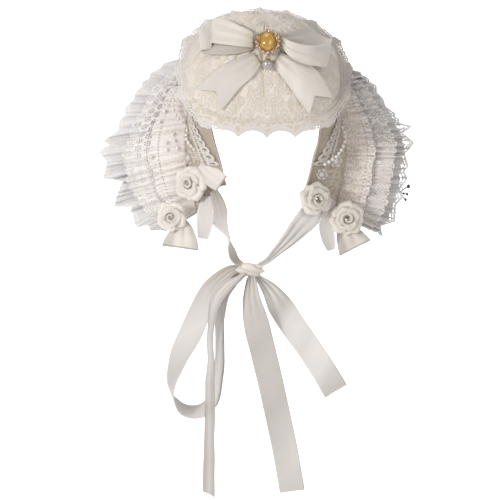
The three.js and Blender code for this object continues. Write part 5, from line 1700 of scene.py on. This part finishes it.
# The link hangs in the brooch's eye, and the pearl lies on the puff as far below as it reaches.
eye_drop = STONE_RING + 0.2 + EYE_GAP + EYE_RADIUS
link_top = brooch_seat + eye_drop * np.array([0, np.sin(FACE_TILT), -np.cos(FACE_TILT)])
low_z, high_z = -20.0, link_top[2]
for _ in range(30):
    middle_z = (low_z + high_z) / 2
    pearl_seat, _ = on_puff(BROOCH_X, np.array(middle_z), DROP_RADIUS - 0.6)
    if np.linalg.norm(pearl_seat - link_top) > DROP_RADIUS + EYE_RADIUS - 0.5 + LINK_LENGTH:
        low_z = middle_z
    else:
        high_z = middle_z
link_run = unit(link_top - pearl_seat)
LINK_TILT = np.arctan2(-link_run[1], link_run[2])

bpy.ops.mesh.primitive_torus_add(major_radius=LINK_LENGTH / 2 * MM, minor_radius=0.45 * MM,
                                 major_segments=28, minor_segments=8, rotation=FACING)
drop_gilt_link = metal_or_stone("drop_gilt_link", [added(True)], gilt)
settle(drop_gilt_link, LINK_TILT, link_top - link_run * LINK_LENGTH / 2)
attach(drop_gilt_link, "root")
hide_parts("drop_link")

bpy.ops.mesh.primitive_uv_sphere_add(segments=36, ring_count=20, radius=DROP_RADIUS * MM)
drop_pearl_ball = added(True)
drop_pearl_ball.scale = (1, 1, 1.03)
silver_pearl = Finish("silver_pearl", Roughness=0.2, Coat_Weight=0.8, Coat_Roughness=0.06,
                      Metallic=0.35)
lustre = silver_pearl.noise(silver_pearl.places(), 240.0, 2.0)
silver_pearl.feed("Base Color", silver_pearl.blend(lustre, (0.36, 0.33, 0.32), (0.58, 0.54, 0.53)))
silver_pearl.feed("Roughness", 0.2 + 0.15 * lustre)
silver_pearl.bump(lustre, 0.00008)
drop_pearl_ball = metal_or_stone("drop_pearl_ball", [drop_pearl_ball], silver_pearl)
settle(drop_pearl_ball, LINK_TILT, pearl_seat)
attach(drop_pearl_ball, "root")
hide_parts("drop_pearl")

bpy.ops.mesh.primitive_torus_add(major_radius=EYE_RADIUS * MM, minor_radius=0.45 * MM,
                                 major_segments=24, minor_segments=8,
                                 location=(0, 0, (DROP_RADIUS + EYE_RADIUS - 0.5) * MM),
                                 rotation=ACROSS)
cap_eye = fix_place(added(True), location=False)
bpy.ops.mesh.primitive_cone_add(vertices=20, radius1=3.1 * MM, radius2=1.0 * MM, depth=1.5 * MM,
                                location=(0, 0, (DROP_RADIUS - 0.5) * MM))
pearl_cup = fix_place(added(True), location=False)
drop_pearl_cap = metal_or_stone("drop_pearl_cap", [cap_eye, pearl_cup], gilt)
settle(drop_pearl_cap, LINK_TILT, pearl_seat)
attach(drop_pearl_cap, "root")


# Satin roses: two on each side, rolled from ivory satin ribbon with the upper edge turned out,
# inside a ring of overlapping folded petals. They are sewn over the foot of each panel.

# One row for each rose: the middle of its back, how far it is turned outwards, its half width,
# its half height, how far it stands out and how far its petals are spun round.
ROSES = {
    "upper_left": (-89.5, -28, -125.5, -35, 19.5, 18.5, 18, 20),
    "lower_left": (-117, -24.3, -167, -8, 16, 16, 17, -35),
    "upper_right": (57.5, -45.1, -143, 28, 19, 17, 17, 65),
    "lower_right": (99, -25.5, -169, 8, 19, 18, 18, 110),
}
# Places across a petal from its foot to its turned-out lip: reach, height and how deep in a fold,
# which sets the shade painted there.
OUTER_PETAL = [(0.20, 0.30, 0.7), (0.42, 0.42, 0.35), (0.72, 0.60, 0.1), (1.0, 0.66, 0),
               (1.14, 0.52, 0), (1.17, 0.36, 0), (1.06, 0.25, 0.3)]
INNER_PETAL = [(0.12, 0.50, 0.45), (0.26, 0.60, 0.25), (0.44, 0.78, 0.05), (0.64, 0.90, 0),
               (0.78, 0.84, 0), (0.83, 0.70, 0), (0.78, 0.60, 0.3)]
ROLL = [(0.0, 0.70, 0.35), (0.02, 0.80, 0.25), (0.05, 0.92, 0.1), (0.13, 1.0, 0),
        (0.22, 0.95, 0), (0.24, 0.86, 0.2)]
# For the outer and the inner petals: their outline, their number, how far they are spun from the
# rose's own turn in degrees, half the angle that each spans, the step of the seed and the slant.
PETAL_RINGS = [(OUTER_PETAL, 4, 0, 1.08, 1, 0.12), (INNER_PETAL, 3, 38, 1.3, 2.3, 0.10)]
ROSE_WALL = 0.7


def rose_places(size, reach, angle, height):
    half_x, half_z, out = size
    return np.stack([half_x * reach * np.cos(angle), -out * height,
                     half_z * reach * np.sin(angle)], axis=-1)


def petal(profile, middle, spread, size, seed, lift):
    """One folded petal: its places, creases and places across and along its cloth."""
    rows, columns = 19, 22
    along, across = np.meshgrid(np.linspace(-1, 1, columns), np.linspace(0, len(profile) - 1, rows))
    section = smooth_rows(profile, across)
    angle = middle + along * spread
    outline = 1 - 0.20 * np.abs(along) ** 3
    ruck = 0.05 * np.sin(along * 5 + seed) + 0.035 * np.sin(along * 11 + 2 * seed)
    towards_lip = soft_step(0.2, 0.9, section[..., 0] / section[..., 0].max())
    reach = section[..., 0] * (1 + (outline - 1 + ruck) * towards_lip)
    height = section[..., 1] + lift * along * section[..., 0]
    height = height + 0.06 * np.sin(along * 4 + seed * 1.7) * section[..., 0]
    point = rose_places(size, reach, angle, height)
    return point, section[..., 2], along * spread * size[0] / 100, across / rows


def rolled_heart(size, seed):
    """The ribbon's end, rolled up in the middle."""
    rows, columns = 14, 84
    along, across = np.meshgrid(np.linspace(0, 1, columns), np.linspace(0, len(ROLL) - 1, rows))
    section = smooth_rows(ROLL, across)
    angle = seed + along * 2 * np.pi * 1.6
    radius = 0.07 + 0.34 * along ** 0.85
    tilt = 0.05 * np.sin(angle * 1.4 + seed)
    reach = radius + section[..., 0] * (0.5 + 0.6 * along)
    height = section[..., 1] - 0.18 * along + tilt
    return rose_places(size, reach, angle, height), section[..., 2], along * 1.1, across / rows


def satin_rose(name, row):
    x, y, z, turn, half_x, half_z, out, spin = row
    seed = x * 0.1
    size = (half_x, half_z, out)
    layers = []
    for profile, petals, turned_by, spread, seed_step, lift in PETAL_RINGS:
        for i in range(petals):
            middle = np.radians(spin + turned_by) + i * 2 * np.pi / petals
            layers.append(petal(profile, middle, spread, size, seed + seed_step * i, lift))
    layers.append(rolled_heart(size, seed))
    places, faces, crease_shades, cloths = [], [], [], []
    count = 0
    for point, crease, across, along in layers:
        rows, columns = point.shape[:2]
        faces.append(grid_faces(rows, columns) + count)
        count += rows * columns
        places.append(point.reshape(-1, 3))
        crease_shades.append(crease.ravel())
        cloths.append(np.stack([across, along * 0.2], axis=-1).reshape(-1, 2))
    angle = np.radians(turn)
    right, back, up = np.vstack(places).T
    spun = np.stack([right * np.cos(angle) - back * np.sin(angle),
                     right * np.sin(angle) + back * np.cos(angle), up], axis=1)
    spun = spun + np.array([x, y, z])
    # Painted shade deep in the petals' folds, and a little more over the roses on the right side.
    crease = np.clip(np.concatenate(crease_shades) * 0.65 + 0.14 * (x > 0), 0, 1)
    values = {"crease": crease, "warm": np.ones(len(spun))}
    piece = make_piece(name, spun, np.vstack(faces), satin, np.vstack(cloths), values)
    thicken(piece, ROSE_WALL, 0)
    return piece


for rose_name, rose_row in ROSES.items():
    rose = satin_rose(f"rose_{rose_name}_satin", rose_row)
    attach(rose, "root")
    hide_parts(f"rose_{rose_name}")


# Ribbons: 32 mm satin ties from the panels to the knot under the chin, a loop and three hanging
# ends below it, folded ribbon ends and a corner sewn under the roses, and narrow lace tabs.

RIBBON_WIDTH = 32.0
RIBBON_WALL = 1.0
KNOT_AT = np.array([-20, -61, -230.0])
KNOT_HALF = np.array([16, 7, 8.0])
# One row for each station down a ribbon: its middle, how far it is turned from facing the
# viewer in degrees, and its width.
TIE_LEFT = [(-66, -40.5, -134, 30, 10), (-59, -49, -154, 50, 28), (-57, -55, -170, 53, 32),
            (-52, -57, -181, 68, 31), (-46, -59, -192, 86, 28), (-43.5, -61, -205, 106, 26),
            (-39, -62, -217, 118, 17)]
TIE_RIGHT = [(64.8, -38.8, -146, -22, 23), (56, -42.5, -162, -14, 30), (42, -49, -177, -17, 28),
             (28, -57, -192, -26, 22), (12, -60, -208, -34, 15.5), (1, -62, -219, -30, 9)]
TIE_LOOP = [(-42, -59, -231, 40, 14), (-57, -57, -241, 46, 22), (-70, -55, -256, 46, 30),
            (-81, -55, -279, 37, 32), (-94, -55, -310, 30, 32), (-109.5, -55, -341, 46, 32),
            (-117.5, -54, -367, 63, 32), (-118, -53, -388, 82, 32), (-108, -50, -405, 102, 32),
            (-92, -46, -411, 111, 32), (-76, -42, -407, 112, 32), (-64, -39, -391, 112, 32),
            (-59, -37, -362, 112, 32), (-58, -37, -325, 112, 32), (-58, -39, -290, 112, 32),
            (-54, -43, -263, 120, 28), (-43, -47, -246, 140, 20), (-33, -50, -239, 150, 12)]
TAIL_LEFT = [(-36, -72, -240, 70, 13), (-48, -75, -248, 60, 22), (-60, -79, -263, 64, 30),
             (-67, -81, -285, 73, 32), (-69, -82, -318, 75, 32), (-69, -82, -355, 72, 32),
             (-69.5, -81, -395, 67, 32), (-70.5, -80, -436, 65, 32), (-72, -80, -508, 62, 32)]
TAIL_MIDDLE = [(-19, -66, -243, 20, 13), (-18, -68, -268, 15, 24), (-12.8, -69, -295, 8, 32),
               (-4, -69, -331, 6, 32), (6.2, -69, -374, 6, 32), (16, -68, -420, 6, 32),
               (24.3, -67, -460, 6, 32), (32.5, -66, -508, 6, 32)]
TAIL_RIGHT = [(-7, -58, -243, -20, 10), (5, -55, -257, -25, 22), (17, -54, -276, -8, 31),
              (33.4, -54, -301, 3, 32), (54.3, -55, -331, 10, 32), (72, -56, -358, 8, 32),
              (87, -57, -383, -4, 32)]
END_LEFT = [(-107, -26, -171, 5, 10), (-105, -29, -182, 5, 26), (-106, -33, -194, 10, 40),
            (-107.5, -35, -206, -8, 46)]
END_RIGHT = [(98, -27, -174, -5, 16), (101, -29, -186, -5, 28), (106, -33, -196, -10, 38),
             (111, -35, -206, 8, 44)]
TAB_LEFT = [(-73, -34, -141, 35, 14), (-75, -39, -158, 22, 22), (-76.5, -41, -175, 12, 21),
            (-79, -41, -194, 5, 13)]
TAB_RIGHT = [(82.9, -26, -146, -45, 12), (79, -32, -160, -32, 17), (74, -39, -176, -20, 19),
             (77, -41, -193, -14, 18), (81, -41, -208, -10, 10)]
CORNER_LEFT = [(-84, -38, -104, 0, 18), (-73, -45, -111.5, 0, 24), (-63, -51.5, -118.5, 0, 25),
               (-54.5, -56, -124.5, 0, 22)]


def station_at_knot(row, reach=0.93):
    """A ribbon's gathered end, just inside the knot on the way to the ribbon's next station."""
    run = unit(np.array(row[:3]) - KNOT_AT)
    touch = 1 / np.linalg.norm(run / KNOT_HALF)
    return (*(KNOT_AT + run * touch * reach), row[3], 7)


def ribbon_strip(rows, steps, across):
    """The middle line of a ribbon, the ways across and out of it, and its run."""
    s, t = np.meshgrid(np.linspace(0, len(rows) - 1, steps), np.linspace(-1, 1, across),
                       indexing="ij")
    row = smooth_rows(rows, s)
    middle = row[..., :3]
    along = unit(smooth_rows(rows, s + 0.05)[..., :3] - smooth_rows(rows, s - 0.05)[..., :3])
    flat = unit(np.cross(along, (0, 1, 0)))
    angle = np.radians(row[..., 3])[..., None]
    side = flat * np.cos(angle) + np.cross(along, flat) * np.sin(angle)
    normal = np.cross(along, side)
    run = np.linalg.norm(np.diff(middle[:, 0], axis=0, prepend=middle[:1, 0]), axis=1).cumsum()
    return middle, side, normal, row[..., 4], t, run[:, None] + 0 * t


def hanging_ribbon(name, rows, finish=satin, seed=1.0, full_width=RIBBON_WIDTH, shades=(0, 0),
                   sides=(0, 0), end_shade=0.0, warm=0.0, pleat=0.045):
    """A ribbon along its stations. Where it is narrower than its full width it is pleated; painted
    shade runs down it from shades and across it from sides, lies in the pleats' valleys, and
    darkens a narrow band along its end."""
    steps, across = 44 + 11 * len(rows), 21
    middle, side, normal, width, t, run = ribbon_strip(rows, steps, across)
    tucked = np.sqrt(np.clip(full_width ** 2 - width ** 2, 0, None))
    pleats = pleat * tucked * np.cos(3 * np.pi * t + seed)
    cup = 1.2 * np.cos(np.pi / 2 * t) * np.sin(run / 38 + seed)
    slack = 0.7 * soft_noise(run, t * 10 + 40 * seed, 17, 60)
    shade = np.interp(run / run.max() + 0.05 * t, np.linspace(0, 1, len(shades)), shades)
    shade = shade + np.interp(t, np.linspace(-1, 1, len(sides)), sides)
    out = middle + side * (t * width / 2)[..., None] + normal * (pleats + cup + slack)[..., None]
    cloth = np.stack([t * full_width / 200, run / 100], axis=-1)
    # Painted shade in the pleats' valleys, and in a narrow band along the end.
    crease = np.clip(-pleats / 1.5, 0, 1) * 0.65
    shade = np.clip(np.maximum(shade, soft_step(2.4, 1.4, run[-1:] - run) * 2 * end_shade), 0, 1.6)
    values = {"crease": crease, "shade": shade, "warm": warm + 0 * t,
              "cord": soft_step(0.72, 0.95, np.abs(t))}
    piece = make_piece(name, out, grid_faces(steps, across), finish, cloth, values)
    thicken(piece, RIBBON_WALL, 0)
    return piece


# One row for each tie: its route, its cut length, how deep in shade it lies down its length and
# from its one side to the other.
RIBBONS = [
    ("tie_left", TIE_LEFT + [station_at_knot(TIE_LEFT[-1])], 0.10,
     (0.8, 0.75, 0.7, 0.35, 0.1, 0.3, 0.45), (0, 0.15)),
    ("tie_right", TIE_RIGHT + [station_at_knot(TIE_RIGHT[-1])], 0.115,
     (0.2, 0.0, 0.0, 0.0, 0.1), (0, 0)),
    ("tie_loop", [station_at_knot(TIE_LOOP[0])] + TIE_LOOP + [station_at_knot(TIE_LOOP[-1])], 0.43,
     (0.7, 0.5, 0.3, 0.15, 0.35, 0.6, 0.35, 0.0, 0.0, 0.3, 0.5, 0.55, 0.5, 0.5), (0.2, 0.05)),
    ("tie_tail_left", [station_at_knot(TAIL_LEFT[0])] + TAIL_LEFT, 0.285,
     (0.3, 0.55, 0.75, 0.8, 0.9, 1.0, 1.0, 1.0, 1.0), (0.2, -0.45, 0.15)),
    ("tie_tail_middle", [station_at_knot(TAIL_MIDDLE[0])] + TAIL_MIDDLE, 0.28,
     (0.6, 0.4, 0.6, 0.7, 0.58, 0.62, 0.68, 0.54, 0.42, 0.36, 0.5), (0.06, 0)),
    ("tie_tail_right", [station_at_knot(TAIL_RIGHT[0])] + TAIL_RIGHT, 0.185,
     (0.5, 0.1, 0.15, 0.6, 0.15, 0.05, 0.2, 0.05, 0.1, 0.5, 0.65), (0.05, 0)),
]
for number, (node, rows, length, shades, sides) in enumerate(RIBBONS):
    strip = hanging_ribbon(f"{node}_satin", rows, seed=1.3 * number, shades=shades, sides=sides)
    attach(strip, "root")
    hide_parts(node)

# The right end is painted darker and warmer, as shade.
for node, rows, dim in (("ribbon_end_left", END_LEFT, 0.0), ("ribbon_end_right", END_RIGHT, 0.25)):
    strip = hanging_ribbon(f"{node}_satin", rows, seed=2.0, full_width=47.0, shades=(dim, dim),
                           sides=(0.5, 0.35, 0, 0, 0.1, 0.6), end_shade=1.0, warm=0.6 + dim,
                           pleat=0.025)
    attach(strip, "root")
    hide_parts(node)

for node, rows in (("lace_tab_left", TAB_LEFT), ("lace_tab_right", TAB_RIGHT)):
    strip = hanging_ribbon(f"{node}_lace", rows, white_lace, seed=3.0, full_width=22.0, pleat=0.01)
    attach(strip, "root")
    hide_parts(node)

corner = hanging_ribbon("rose_ribbon_corner_satin", CORNER_LEFT, seed=0.5, full_width=26.0,
                        sides=(0.5, 0.2, 0, 0), end_shade=0.8, warm=0.5, pleat=0.025)
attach(corner, "root")


tie_knot_satin = knot_folds("tie_knot_satin", (16.5, 7.4, 8.4), 3.4, 0.9, 0.0, KNOT_AT, 0.3)
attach(tie_knot_satin, "root")
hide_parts("tie_knot")


# Black-tipped sprig: three fine wire stems with black beads on their ends, caught in the right
# ruffle's edge.

SPRIG_FOOT = np.array([171, 16.5, -140])
# One row for each bead: its place from the sprig's foot and its radius.
SPRIG_BUDS = [(10.5, 8, 2.4), (9, -2, 1.8), (7, -9, 1.8)]

black_bead = Finish("black_beads", Roughness=0.3, Coat_Weight=0.5)
dusty = black_bead.noise(black_bead.places(), 700.0)
black_bead.feed("Base Color", black_bead.blend(dusty, (0.012, 0.012, 0.013), (0.05, 0.048, 0.045)))
black_bead.feed("Roughness", 0.22 + 0.3 * dusty)
black_bead.bump(dusty, 0.0001)


def beaded_sprig():
    parts = []
    for x, z, radius in SPRIG_BUDS:
        end = SPRIG_FOOT + (x, -2, z)
        middle = (SPRIG_FOOT + end) / 2 + (-1.2, 0, 0)
        path, _ = smooth_path([SPRIG_FOOT, middle, end], 16)
        parts.append(tube(path, 0.8, 6, closed=False))
        ball, faces = bead_ball(1.0, 8, 12)
        parts.append((ball * radius * (1, 1, 1.15) + end, faces))
        for turn in (0.6, 2.4):
            leaf_end = middle + 4.2 * np.array([np.cos(turn), 0.2, np.sin(turn)])
            leaf_middle = (middle + leaf_end) / 2 + (0, -0.6, 0)
            leaf, _ = smooth_path([middle, leaf_middle, leaf_end], 8)
            parts.append(tube(leaf, 0.6, 5, closed=False))
    return closed_piece("black_bead_sprig", parts, black_bead)


black_bead_sprig = beaded_sprig()
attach(black_bead_sprig, "root")
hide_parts("black_sprig")
